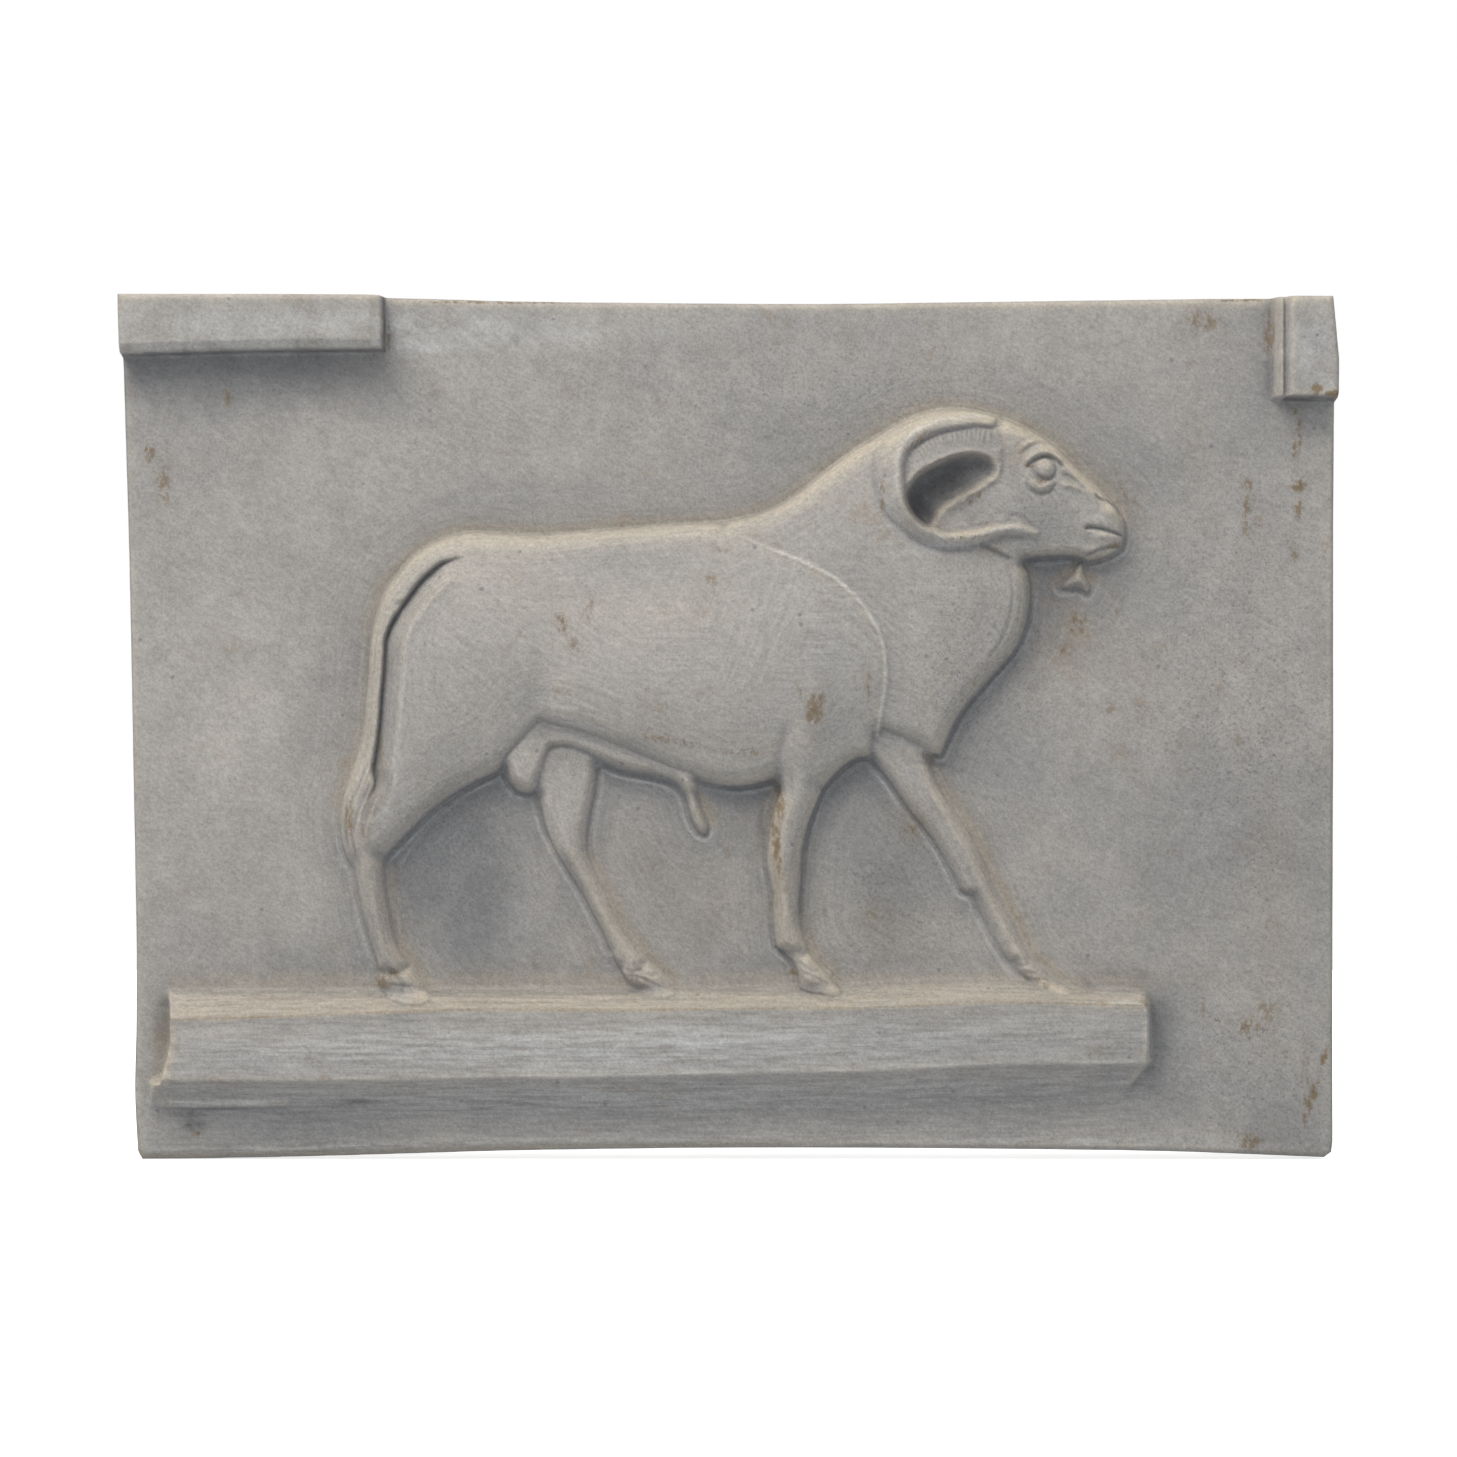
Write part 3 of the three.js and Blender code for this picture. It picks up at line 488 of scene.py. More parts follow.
CREASES = [
    # brow, lids and the corners of the eye
    (UPPER_LID, 0.4, 1.1, 0.8),
    (BROW, 0.5, 0.4, 0.15),
    crease(0.5, 0.35, 0.15, [(70, 176.4), (71, 178), (73.4, 179.3), (76, 179.6)]),
    crease(0.35, 0.5, 0.5, [(74.6, 170.2), (75.6, 169.2), (77.2, 168.9), (78.8, 169.4), (79.8, 170.6)]),
    crease(0.4, 0.7, 0.5, [
        (72.6, 168.8), (73, 167), (74.6, 165.6), (76.8, 165.4), (78.8, 166.6), (80.2, 168.4),
    ]),
    crease(0.45, 0.45, 0.45, [(81.4, 170.4), (83, 170), (85, 168.6), (87.4, 166.4)]),
    # nostril, mouth and chin
    crease(0.38, 1.0, 0.9, [
        (89.4, 165.4), (91, 164.2), (92.4, 163.8), (94, 163), (95.4, 161.6), (96.2, 159.8),
    ]),
    crease(0.42, 1.3, 0.95, [
        (86.8, 156.3), (87.8, 157.1), (89.6, 157), (92, 156.5), (94.2, 155.8), (97.2, 154.9),
    ]),
    crease(0.4, 0.9, 0.9, [(86.6, 149.8), (88.4, 150.6), (91, 151.6), (94, 152.3), (96.6, 152)]),
    # jaw, cheek, and where horn and head meet
    (JAW, 0.5, 0.6, 0.35),
    crease(0.5, 0.35, 0.2, [(67.8, 159.6), (70.4, 160), (73, 158.2), (75.6, 155.6)]),
    crease(0.5, 0.5, 0.6, [(64.9, 182.6), (65.6, 184.6)]),
    crease(0.6, 0.5, 0.25, [(66.6, 177), (66.9, 173), (66.4, 169.6)]),
    # the tail and the back of the hind leg
    (TAIL_LINE, 0.3, 0.5, 1.0),
    crease(0.4, 0.0, 0.5, [(-84.4, 69), (-82, 74.6), (-78, 80.5), (-71, 87.8), (-62, 94)]),
    *((strand, 0.4, 0.0, 0.6) for strand in TAIL_STRANDS),
    # round the horn's hollow, and the front of the neck
    crease(0.4, 0.35, 0.5, [(49.4, 156), (52, 155.9), (56, 156.3), (60, 157.2), (65, 158)]),
    crease(0.35, 0.0, 0.45, [
        (66.8, 183), (64, 182.1), (59.5, 182.2), (54.8, 181.5), (50, 180.2), (46.2, 178.2),
    ]),
    crease(0.4, 0.2, 0.3, [(54, 163.4), (58, 164.6), (62, 166.4), (65.4, 168.6)]),
    crease(0.45, 0.3, 0.32, [
        (66.8, 148.6), (68.6, 145), (69.1, 140), (68.4, 134.5), (66.2, 129), (62.6, 124),
    ]),
    crease(0.35, 0.2, 0.5, [(74.4, 147.6), (75, 144), (74.9, 139), (73.8, 133), (71.2, 127), (67, 121.4)]),
]


def sculpt_face(field):
    """Eye, lids, brow, cheek, nostril, lips and jaw, and then every engraved line."""
    field += 0.45 * swell(72, 162, 9, 7, -20)
    field -= 0.35 * swell(84.5, 161, 6, 4, -35)
    field += 0.5 * swell(71.5, 156, 5, 3, 0)
    field -= 0.4 * swell(67.5, 170, 2.2, 7, 10)
    field += 0.8 * ring(smooth_line([(80.6, 167.5), (83, 167.6), (85, 166.8), (86, 165.4)]), 0.7, 0.3)
    field -= 0.6 * swell(83.6, 169.4, 3.0, 1.1, -32)
    field += 0.4 * ring(smooth_line([(83, 171.4), (87, 167.4), (91, 163.6)]), 0.9, 0.2)

    # Orbit: a swelling round the eye, a brow fold, a heavy upper lid and a pouch below.
    field += 1.0 * swell(77, 172.6, 5.4, 5.6, -15)
    field += 0.75 * ring(UPPER_LID + (-0.1, 1.15), 0.8, 0.12)
    field += 0.6 * ring(BROW + (-0.4, 1.0), 0.8, 0.2)
    pouch = smooth_line([(73.4, 169.2), (73.9, 167.9), (75.4, 167.1), (77, 167.2), (78.6, 168.6)])
    field += 0.9 * ring(pouch, 0.95, 0.15)
    ball = np.hypot(X - 77.1, Z - 171.8)
    field -= 1.5 * np.exp(-((ball / 2.9) ** 4))
    field += 2.4 * np.sqrt(np.clip(1 - (ball / 2.5) ** 2, 0, 1))

    # Nose, lips and chin.
    field += 1.1 * swell(93.6, 160.9, 1.9, 1.35, -28)
    field += 0.5 * swell(91.5, 158.6, 3.4, 1.3, -10)
    field += 0.8 * swell(92, 154.9, 3.4, 1.2, -4)
    field -= 0.55 * swell(88.2, 154.4, 1.6, 2.2, 0)
    for line, width, deep, _ in CREASES:
        field -= deep * ring(line, width, 0.1)

    # The jaw stands clear of the neck.
    gap, along, side = near(JAW, 7)
    field -= np.where(side < 0, 0.9 * np.exp(-gap / 2.5), 0) * ease(0, 0.2, along)
    return field


def sculpt_neck_front(field):
    """The front of the neck ends in an arris and a narrow sloping wall."""
    arris = smooth_line([
        (70.4, 148.6), (72.1, 145), (72.5, 140.6), (72, 135.8), (70.4, 130.6), (67.6, 125.8), (63.6, 121),
        (59.4, 116), (55.6, 111), (53, 106.4), (51.2, 101.4),
    ])
    gap, along, side = near(arris, 4)
    ends = ease(0, 0.05, along) * ease(0, 0.3, 1 - along)
    field -= ends * 0.7 * bell(gap - 0.5 * side, 0.6)
    field += ends * 0.5 * bell(gap * side - 1.5, 0.7)
    outside = smooth_line([
        (74.4, 148), (75.6, 144), (75.7, 139), (74.6, 132.6), (72.1, 126.6), (67.9, 121.2), (63.3, 115.8),
        (58.9, 110.6),
    ])
    field += 0.3 * ring(outside, 0.6, 0.2)
    return field


def sculpt_legs(field):
    """Joints, tendons and cleft hooves."""
    for x, z, across, up, height in [
        (-92, 73, 3.2, 4, 0.5), (-88.6, 48.5, 2.2, 2.4, 0.4), (12.4, 75.5, 3, 4, 0.45),
        (13.6, 53.4, 2.4, 2, 0.5), (59, 66.6, 2.6, 2.6, 0.6), (71.2, 50.4, 2.6, 2, 0.4),
        (-44, 76.6, 3, 3, 0.5), (-27, 49.4, 2.6, 2.2, 0.4),
    ]:
        field += height * swell(x, z, across, up)
    tendons = [
        [(12, 90), (12.4, 82), (11.4, 74), (12.6, 64), (13.6, 54)],
        [(-90.6, 70), (-89.6, 62), (-88, 54), (-86.4, 49)],
        [(46, 96), (51.5, 87.5), (57, 77), (62, 67), (67.5, 57), (71.5, 50.5)],
        [(-43, 88), (-41.6, 78), (-37, 68), (-32, 58), (-27, 50)],
    ]
    for tendon in tendons:
        field += 0.4 * ring(smooth_line(tendon), 1.2, 0.15)
    folds = [
        [(10.4, 52.2), (13, 51.4), (15.4, 51.6), (17.4, 52.4)],
        [(15.4, 49.4), (17.6, 47.6), (19.6, 46.6), (22, 46.4)],
        [(16.5, 46.5), (20, 45), (24.8, 42)],
        [(-88.6, 46.6), (-86, 45.8), (-83, 46.6), (-80.6, 48.2)],
        [(-87, 43.4), (-83, 43), (-79.6, 42.6), (-77, 41.4)],
        [(-84, 46), (-82.6, 43), (-82.8, 40)],
        [(-29.6, 47.8), (-26, 46.4), (-22.4, 47)],
        [(-28, 45.6), (-24, 45), (-20.4, 43.4), (-17, 41.4)],
        [(-24.4, 47.6), (-21.6, 45.6), (-18.6, 45.4)],
        [(69.6, 47.8), (72, 47.8), (74.4, 48.6)],
        [(71.4, 46.6), (75, 45.8), (79, 43.6), (82.4, 41.6)],
        [(74, 48.4), (76.4, 46.2), (80, 44.6)],
        [(56.4, 67.2), (57.4, 65.8), (59, 66), (60.2, 65)],
    ]
    for fold in folds:
        field -= 0.5 * ring(smooth_line(fold), 0.45, 0.2)
    return field


FAR_HIND_TRIM = [
    (-50.5, 93), (-48.6, 87), (-47, 81.4), (-43.2, 73.8), (-38.8, 66.8), (-34.8, 58.6), (-31, 51.6),
]
GROIN_STEP = [
    (-57, 97), (-49, 107.5), (-40, 107), (-20, 99.5), (-6, 95.5), (-2, 92), (-10, 93.4), (-24, 97.2),
    (-36, 101.4), (-44, 102.4), (-47, 98), (-52, 94),
]
LEDGE_STATIONS = [-141, -126, -83, -60, 6, 45, 80, 92, 103]
LEDGE_CROWN = [41.6, 41.5, 41.6, 41.8, 42.5, 44.2, 43.4, 42.2, 41.4]  # where the top bevel leaves the ground
LEDGE_BROW = [34.5, 34.9, 36.5, 36.8, 37.4, 38.2, 38.2, 38.1, 38.0]  # where it meets the front
LEDGE_LIP = [19.4, 19.4, 19.5, 20.0, 21.6, 22.6, 23.3, 23.6, 23.9]  # the front's lower edge
LEDGE_TOE = [9.5, 9.5, 9.5, 9.6, 10.2, 11.0, 12.0, 12.6, 13.4]  # the foot of the underside
END_LEVELS = [18.6, 21, 25, 29, 34, 38.8, 42]  # the left end is not straight: levels,
END_WALL = [-143.3, -142.7, -141.6, -140.9, -140.9, -141.2, -141.6]  # and where the end is at each of them
LEDGE_BEAD = smooth_line([(92, 38.9), (99.6, 38.9), (101.7, 38), (102.5, 35.6), (102.5, 30), (102.5, 25)])


def ledge_line(levels):
    """One of the ledge's long edges, drawn as listed, as its level at every cell's x."""
    return np.interp(X, LEDGE_STATIONS, levels).astype(np.float32) + 0.25 * noise(14, 60, 15)


def sculpt_ledge(relief):
    """A thick ledge: a bevelled top, a flat front with a lip at its lower edge, and a sloping underside."""
    _, foot, face = tapered("ledge", 1.0)
    brow, lip = ledge_line(LEDGE_BROW), ledge_line(LEDGE_LIP)
    crown, toe = ledge_line(LEDGE_CROWN), ledge_line(LEDGE_TOE)
    top = (crown - Z) / (crown - brow)
    top = np.clip(0.5 * (top + np.sqrt(top**2 + 0.008)) - 0.004, 0, 1)
    under = np.clip((Z - toe) / (lip - toe), 0, 1) ** 1.7
    end = np.clip((104.4 - 0.85 * np.clip(24 - Z, 0, 8) - X) / 1.9, 0, 1) ** 1.2
    corner = np.hypot(np.maximum(X - 100.4, 0) / 4, np.maximum(Z - 36.6, 0) / 5)
    end = np.where((X > 100.4) & (Z > 36.6), np.minimum(end, np.clip((1.02 - corner) / 0.55, 0, 1)), end)
    wall = np.interp(Z, END_LEVELS, END_WALL)
    sheer = np.minimum(end, np.clip((X - wall + 0.25) / 0.5, 0, 1))
    end = np.where(Z > 18.8, sheer, end * ease(-147, -143.5, X))
    height = LEDGE_HEIGHT * np.minimum(np.minimum(top, under), end)
    height += (0.25 * ease(0, 8, face) + 0.12 * noise(30, 3, 12)) * (foot > 0) * end
    height += 0.12 * bell(Z - lip - 0.7, 0.8) * end
    height += 0.35 * ring(LEDGE_BEAD, 0.5, 0.1)
    height += 0.14 * np.sin(Z * 2.1 + 2.4 * noise(20, 3, 14)) * ease(0, 0.2, top) * ease(1, 0.8, top)
    relief = np.where((top > 0) & (under > 0) & (end > 0), relief + np.maximum(height, 0), relief)

    # Left of the ledge the ground is scooped out, and a thin step of spilt plaster runs below the front.
    scoop = ease(-146.8, -142, X) * (X < wall) * ease(18.6, 21, Z) * ease(40.5, 37, Z)
    relief -= 0.8 * scoop
    gap = np.abs(Z - 13.5 - 0.004 * (X + 143))
    relief += 0.8 * ease(1.3, 0.8, gap) * ease(-144.5, -142, X) * ease(-109, -113, X)
    relief -= 0.8 * swell(-135.6, 8.6, 3.4, 2.6, -30) * ease(-0.6, 0.4, noise(0.7, 0.5, 16))
    relief -= 0.4 * ring(smooth_line([(-98, 14.2), (-94, 14), (-90, 14.2)]), 0.5, 0.3)
    return relief


def sculpt_blocks(relief):
    """The blocks, and the painted shadow lines at their feet. The right one has a bead and a groove at its
    left.
    """
    grain = 0.1 * noise(9, 4, 13)
    left, left_foot, _ = tapered("upper_left_block", 1.0)
    height = BLOCK_HEIGHT * (0.76 * np.clip(left / 0.06, 0, 1) + 0.24 * left)
    relief = np.where(left_foot > 0, np.maximum(relief, height + grain), relief)
    _, right_foot, _ = tapered("upper_right_block", 1.0)
    side = np.interp(
        X, [133.2, 135.4, 136.0, 136.6, 137.2, 137.8, 138.6], [0, 4.6, 6.0, 5.6, 4.4, 7.6, BLOCK_HEIGHT]
    )
    height = side * np.clip((Z - RIGHT_BLOCK_LEVEL) / 0.3, 0, 1)
    relief = np.where(right_foot > -0.4, np.maximum(relief, height + grain), relief)
    # Painted shadow lines along the undercut feet of the blocks.
    feet = bell(left_foot + 0.05, 0.25) * ((Z < 203) | (X > -90))
    feet = np.maximum(feet, 1.3 * bell(Z - RIGHT_BLOCK_LEVEL - 0.05, 0.36) * ease(136, 137.5, X))
    return relief, feet


def cut_channel(ground, body, outside):
    """A fine channel round the forms with a raised burr beyond it, and a cove down from the rump."""
    under = ease(-0.5, 0.7, np.gradient(blur(np.clip(outside, -6, 6), 0.6), STEP)[0])
    stand = ease(39, 48, Z) * (0.12 + 0.88 * under)
    ground -= 0.3 * bell(outside + 0.25, 0.35) * stand
    ground += 0.22 * bell(outside + 1.5, 0.5) * stand
    ground += 1.1 * np.exp(np.minimum(body, 0) / 2.2) * ease(150, 90, Z) * ease(-40, -56, X)
    ground += 3.4 * swell(-11.2, 93.2, 2.6, 1.9, -20)
    hind_edge = smooth_line([
        (-84.6, 68), (-82.6, 74), (-78.9, 79.7), (-71.6, 87.1), (-62.1, 93.2), (-56, 95),
    ])
    ground += 0.45 * ring(hind_edge, 0.6, 0.15)
    return ground, under


def roll_edge(relief, edge):
    """The panel's arris, rolled over further along the bottom left."""
    roll = 1.5 + 1.6 * ease(60, -60, X) * ease(12, 2, Z)
    t = 1 - np.clip(edge / roll, 0, 1)
    return relief - roll * (1 - np.sqrt(np.clip(1 - t * t, 0, 1)))


def sculpt():
    """The whole height field, and the distances and masks that the materials need."""
    ground = sculpt_ground()
    body, depth = sculpt_body()
    body = sculpt_horn(body)
    body = sculpt_ear(body)
    body = sculpt_face(body)
    body = sculpt_neck_front(body)

    groin, d1 = sculpt_form(["ram_scrotum", "ram_sheath"], 3.3, 3.4, 0.5, ["ram_torso"])
    groin += 1.3 * swell(-52.6, 96.6, 5, 6.2, 10)
    beard, d3 = sculpt_form(["ram_beard"], 2.8, 2.4, 0.3, ["ram_head"])
    hind, d4 = sculpt_form(
        ["ram_far_hind_leg", "ram_far_hind_hoof"], 2.1, 3.2, 0.6, ["ram_sheath", "ram_scrotum"], FAR_HIND_TRIM
    )
    fore, d5 = sculpt_form(["ram_far_foreleg", "ram_far_fore_hoof"], 2.4, 3.2, 0.7, ["ram_neck", "ram_torso"])
    outside = np.max([depth, d1, d3, d4, d5], axis=0)

    ground, under = cut_channel(ground, depth, outside)

    # Where the belly meets the groin the two stand on a common step.
    step = signed(np.array(GROIN_STEP), 8)
    body = np.maximum(body, 2.3 * dome(blur(np.maximum(step, 0), 0.6), 3))
    shapes = [body, groin, beard, hind, fore]
    depths = [np.maximum(depth, np.where(step > 0, 0.1, -9)), d1, d3, d4, d5]
    standing = [np.where(d > 0, s + 0.25 * ground, -9) for s, d in zip(shapes, depths)]
    relief = np.maximum.reduce(standing + [ground])
    relief -= 0.25 * bell(near(LOOPS["ram_sheath"], 2)[0], 0.4) * (depth > -2)
    flush = 0.5 + 0.5 * ease(38, 48, Z)
    relief = np.where(Z < 48, ground + (relief - ground) * flush, relief)
    relief = sculpt_legs(relief)
    relief = sculpt_ledge(relief)
    relief, feet = sculpt_blocks(relief)
    edge = signed(OUTER, 8)
    relief = roll_edge(blur(relief, 0.22), edge)
    return relief, {"edge": edge, "forms": outside, "under": under, "feet": feet}


# ------------------------------------------------------------------ from height fields to meshes

COARSE = 1.2  # the widest spacing of the points
LEVELS = 3  # each finer lattice halves it
FLATNESS = 0.011  # how far a facet may be from the true surface
CLEAR = 0.13  # no lattice point is nearer than this to an outline
BESIDE = 0.22  # how far the rows of points on both sides of an outline are from it
SEAM = 0.36  # narrower strips between two outlines go to one of the two


def sample(field, points):
    """Values of a grid field at some drawing points, bilinear."""
    col = np.clip((points[:, 0] - GRID_X[0]) / STEP, 0, X.shape[1] - 1.001)
    row = np.clip((points[:, 1] - GRID_Z[0]) / STEP, 0, X.shape[0] - 1.001)
    c, r = col.astype(int), row.astype(int)
    u, v = col - c, row - r
    low = field[r, c] * (1 - u) + field[r, c + 1] * u
    high = field[r + 1, c] * (1 - u) + field[r + 1, c + 1] * u
    return low * (1 - v) + high * v


def needed_spacing(field):
    """How far apart the points may be for flat facets to follow the field."""
    gz, gx = np.gradient(field, STEP)
    zz, zx = np.gradient(gz, STEP)
    _, xx = np.gradient(gx, STEP)
    bend = blur(np.sqrt(xx**2 + zz**2 + 2 * zx**2), 0.5)
    return np.sqrt(8 * FLATNESS / np.maximum(bend, 1e-3))


def beside(loop, gap):
    """A row of points on the left of an outline, or on its right where the gap is negative."""
    along = np.roll(loop, -1, axis=0) - np.roll(loop, 1, axis=0)
    along /= np.maximum(np.hypot(*along.T), 1e-9)[:, None]
    return loop + gap * np.stack([-along[:, 1], along[:, 0]], axis=1)


def lattice(field, outlines, clear):
    """Points on nested square lattices, the finer ones only where the field bends, clear of the outlines."""
    fine = COARSE / 2 ** (LEVELS - 1)
    i, j = np.meshgrid(np.arange(1, int((RIGHT - LEFT) / fine)), np.arange(1, int((TOP - FOOT) / fine)))
    points = np.stack([LEFT + fine * i, FOOT + fine * j], axis=-1).reshape(-1, 2)
    need = sample(needed_spacing(field), points)
    i, j = i.ravel(), j.ravel()
    keep = np.zeros(len(points), bool)
    for level in range(LEVELS):
        skip = 2 ** (LEVELS - 1 - level)
        limit = math.inf if level == 0 else 1.5 * fine * skip
        keep |= (i % skip == 0) & (j % skip == 0) & (need < limit)
    gap = np.full(X.shape, 2.0, np.float32)
    for loop in outlines:
        np.minimum(gap, near(np.vstack([loop, loop[:1]]), 2.0)[0], out=gap)
    keep &= (sample(gap, points) > clear) & (sample(signed(outlines[0], 3), points) > clear)
    return points[keep]


def within(points, loop):
    """True for the points that a closed loop goes round."""
    return enclosed(points, loop, np.roll(loop, -1, axis=0))


def enclosed(points, starts, ends):
    """True for the points that some edges, in any order, go round."""
    odd = np.zeros(len(points), bool)
    px, pz = points.T
    for (ax, az), (bx, bz) in zip(starts, ends):
        crosses = (az > pz) != (bz > pz)
        with np.errstate(divide="ignore", invalid="ignore"):
            odd ^= crosses & (px < ax + (pz - az) * (bx - ax) / (bz - az))
    return odd


def loop_gap(points, loop):
    """Distance from each point to a closed loop."""
    best = np.full(len(points), np.inf)
    for a, b in zip(loop, np.roll(loop, -1, axis=0)):
        np.minimum(best, segment_distance((a, b), points[:, 0], points[:, 1]), out=best)
    return best


def triangulate(field, outlines):
    """Triangles over everything inside the first outline, with an edge along every outline."""
    # The ram's outlines come after the panel's, the ledge's and the blocks', and get rows on both sides.
    rows = [beside(loop, gap) for loop in outlines[4:] for gap in (-BESIDE, BESIDE)]
    rows = np.vstack(rows) if rows else np.zeros((0, 2))
    for loop in outlines:
        rows = rows[loop_gap(rows, loop) > 0.8 * BESIDE]
    points = [rows, lattice(field, outlines, CLEAR + BESIDE * (len(rows) > 0))]
    edges = []
    count = len(points[0]) + len(points[1])
    for loop in outlines:
        points.append(loop)
        ring_ids = count + np.arange(len(loop))
        edges.extend(zip(ring_ids.tolist(), np.roll(ring_ids, -1).tolist()))
        count += len(loop)
    flat = np.vstack(points)
    out = delaunay_2d_cdt([Vector(p) for p in flat], edges, [], 0, 1e-5, False)
    co = np.array([v[:] for v in out[0]])
    triangles = anticlockwise(co, np.array(out[2]))
    middle = co[triangles].mean(axis=1)
    keep = within(middle, outlines[0])
    return co, triangles[keep], middle[keep]


def anticlockwise(co, triangles):
    """Turns the triangles that run clockwise."""
    a, b, c = co[triangles].transpose(1, 0, 2)
    area = (b[:, 0] - a[:, 0]) * (c[:, 1] - a[:, 1]) - (b[:, 1] - a[:, 1]) * (c[:, 0] - a[:, 0])
    triangles[area < 0] = triangles[area < 0][:, ::-1]
    return triangles


def label(middle, loops):
    """Which outline each triangle is inside. A narrow strip between two goes to the first."""
    owner = np.full(len(middle), -1)
    for k, loop in enumerate(loops):
        low, high = loop.min(axis=0) - 1, loop.max(axis=0) + 1
        close = ((middle > low) & (middle < high)).all(axis=1).nonzero()[0]
        owner[close[within(middle[close], loop)]] = k
    free = (owner < 0).nonzero()[0]
    first = np.full(len(free), -1)
    touching = np.zeros(len(free), int)
    for k, loop in enumerate(loops):
        low, high = loop.min(axis=0) - 1, loop.max(axis=0) + 1
        close = ((middle[free] > low) & (middle[free] < high)).all(axis=1).nonzero()[0]
        close = close[loop_gap(middle[free[close]], loop) < SEAM]
        touching[close] += 1
        first[close[first[close] < 0]] = k
    strip = touching > 1
    owner[free[strip]] = first[strip]
    return owner


def rim(triangles):
    """The directed edges that only one triangle has. The triangles are on their left."""
    a = triangles.ravel()
    b = np.roll(triangles, -1, axis=1).ravel()
    big = int(triangles.max()) + 1
    there, back = a * big + b, b * big + a
    open_edges = ~np.isin(there, back)
    return np.stack([a[open_edges], b[open_edges]], axis=1)


def cap(co, edges):
    """Few large triangles that fill the area inside some directed edges, seen from the front."""
    used, flat = np.unique(edges, return_inverse=True)
    flat = flat.reshape(edges.shape)
    out = delaunay_2d_cdt([Vector(p) for p in co[used]], flat.tolist(), [], 0, 1e-7, False)
    triangles = anticlockwise(co[used], np.array(out[2]))
    inner = enclosed(co[used][triangles].mean(axis=1), co[edges[:, 0]], co[edges[:, 1]])
    return used[triangles[inner]]


class Shell:
    """Collects the vertices and triangles of one piece, in drawing millimetres and heights."""

    def __init__(self):
        self.places = []
        self.heights = []
        self.normals = []
        self.faces = []
        self.count = 0

    def layer(self, places, heights, normals=None):
        """Adds a vertex for each place. A normal of zeros means that the faces decide."""
        self.places.append(places)
        self.heights.append(np.broadcast_to(heights, len(places)))
        self.normals.append(np.zeros((len(places), 3)) if normals is None else normals)
        self.count += len(places)
        return self.count - len(places) + np.arange(len(places))

    def skin(self, triangles, curved=False, flat=False):
        """Adds triangles: curved ones have given normals, flat ones keep their own, the rest share theirs."""
        self.faces.append((np.asarray(triangles), curved, flat))

    def wall(self, upper, lower, edges):
        """Quads, as triangles, from the upper vertices down to the lower ones along directed edges."""
        a, b = edges.T
        self.skin(np.vstack([
            np.stack([upper[a], lower[a], lower[b]], axis=1),
            np.stack([upper[a], lower[b], upper[b]], axis=1),
        ]))

    def tube(self, rings):
        """Joins rings of equally many vertices, one after the other."""
        for a, b in zip(rings, rings[1:]):
            self.skin(np.stack([a, np.roll(a, -1), np.roll(b, -1)], axis=1)[:, ::-1])
            self.skin(np.stack([a, np.roll(b, -1), b], axis=1)[:, ::-1])

    def fan(self, ring_ids):
        """Closes a ring with flat triangles from its first vertex."""
        first, rest = ring_ids[0], ring_ids[1:]
        self.skin([(first, a, b) for a, b in zip(rest, rest[1:])], flat=True)


def frame_points(places, heights):
    """Drawing places and heights as points of the frame."""
    x = PANEL_LOW.x + (places[:, 0] - DRAWING_LEFT) * MM
    z = PANEL_LOW.z + (places[:, 1] - DRAWING_FOOT) * MM
    return np.stack([x, GROUND_Y - heights * MM, z], axis=1)


def field_normals(field, places):
    """The height field's own normals, as directions of the frame."""
    gz, gx = np.gradient(field, STEP)
    normal = np.stack([-sample(gx, places), -np.ones(len(places)), -sample(gz, places)], axis=1)
    return normal / np.linalg.norm(normal, axis=1, keepdims=True)


def make_piece(name, points, faces, normals, curved, flat, material, node, tints=None):
    """A mesh object from arrays, with normals of its own at every corner."""
    mesh = bpy.data.meshes.new(name)
    mesh.vertices.add(len(points))
    mesh.vertices.foreach_set("co", points.ravel())
    mesh.loops.add(faces.size)
    mesh.loops.foreach_set("vertex_index", faces.ravel().astype(np.int32))
    mesh.polygons.add(len(faces))
    mesh.polygons.foreach_set("loop_start", np.arange(0, faces.size, 3, dtype=np.int32))
    mesh.update(calc_edges=True)
    mesh.shade_smooth()
    a, b, c = points[faces].transpose(1, 0, 2)
    facing = np.cross(b - a, c - a)
    smooth = ~(curved | flat)
    shared = np.zeros((len(points), 3))
    for k in range(3):
        np.add.at(shared, faces[smooth, k], facing[smooth])
    corner = np.where(curved[:, None, None], normals[faces], shared[faces])
    corner = np.where(flat[:, None, None], facing[:, None, :], corner)
    length = np.linalg.norm(corner, axis=2, keepdims=True)
    corner = np.where(length > 1e-20, corner / np.maximum(length, 1e-20), [[[0.0, -1.0, 0.0]]])
    mesh.normals_split_custom_set(corner.reshape(-1, 3).tolist())
    for key, values in (tints or {}).items():
        layer = mesh.attributes.new(key, "FLOAT_COLOR", "POINT")
        layer.data.foreach_set("color", values.astype(np.float32).ravel())
    mesh.materials.append(material)
    piece = bpy.data.objects.new(name, mesh)
    bpy.context.scene.collection.objects.link(piece)
    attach(piece, "root")
    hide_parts(node)
    return piece


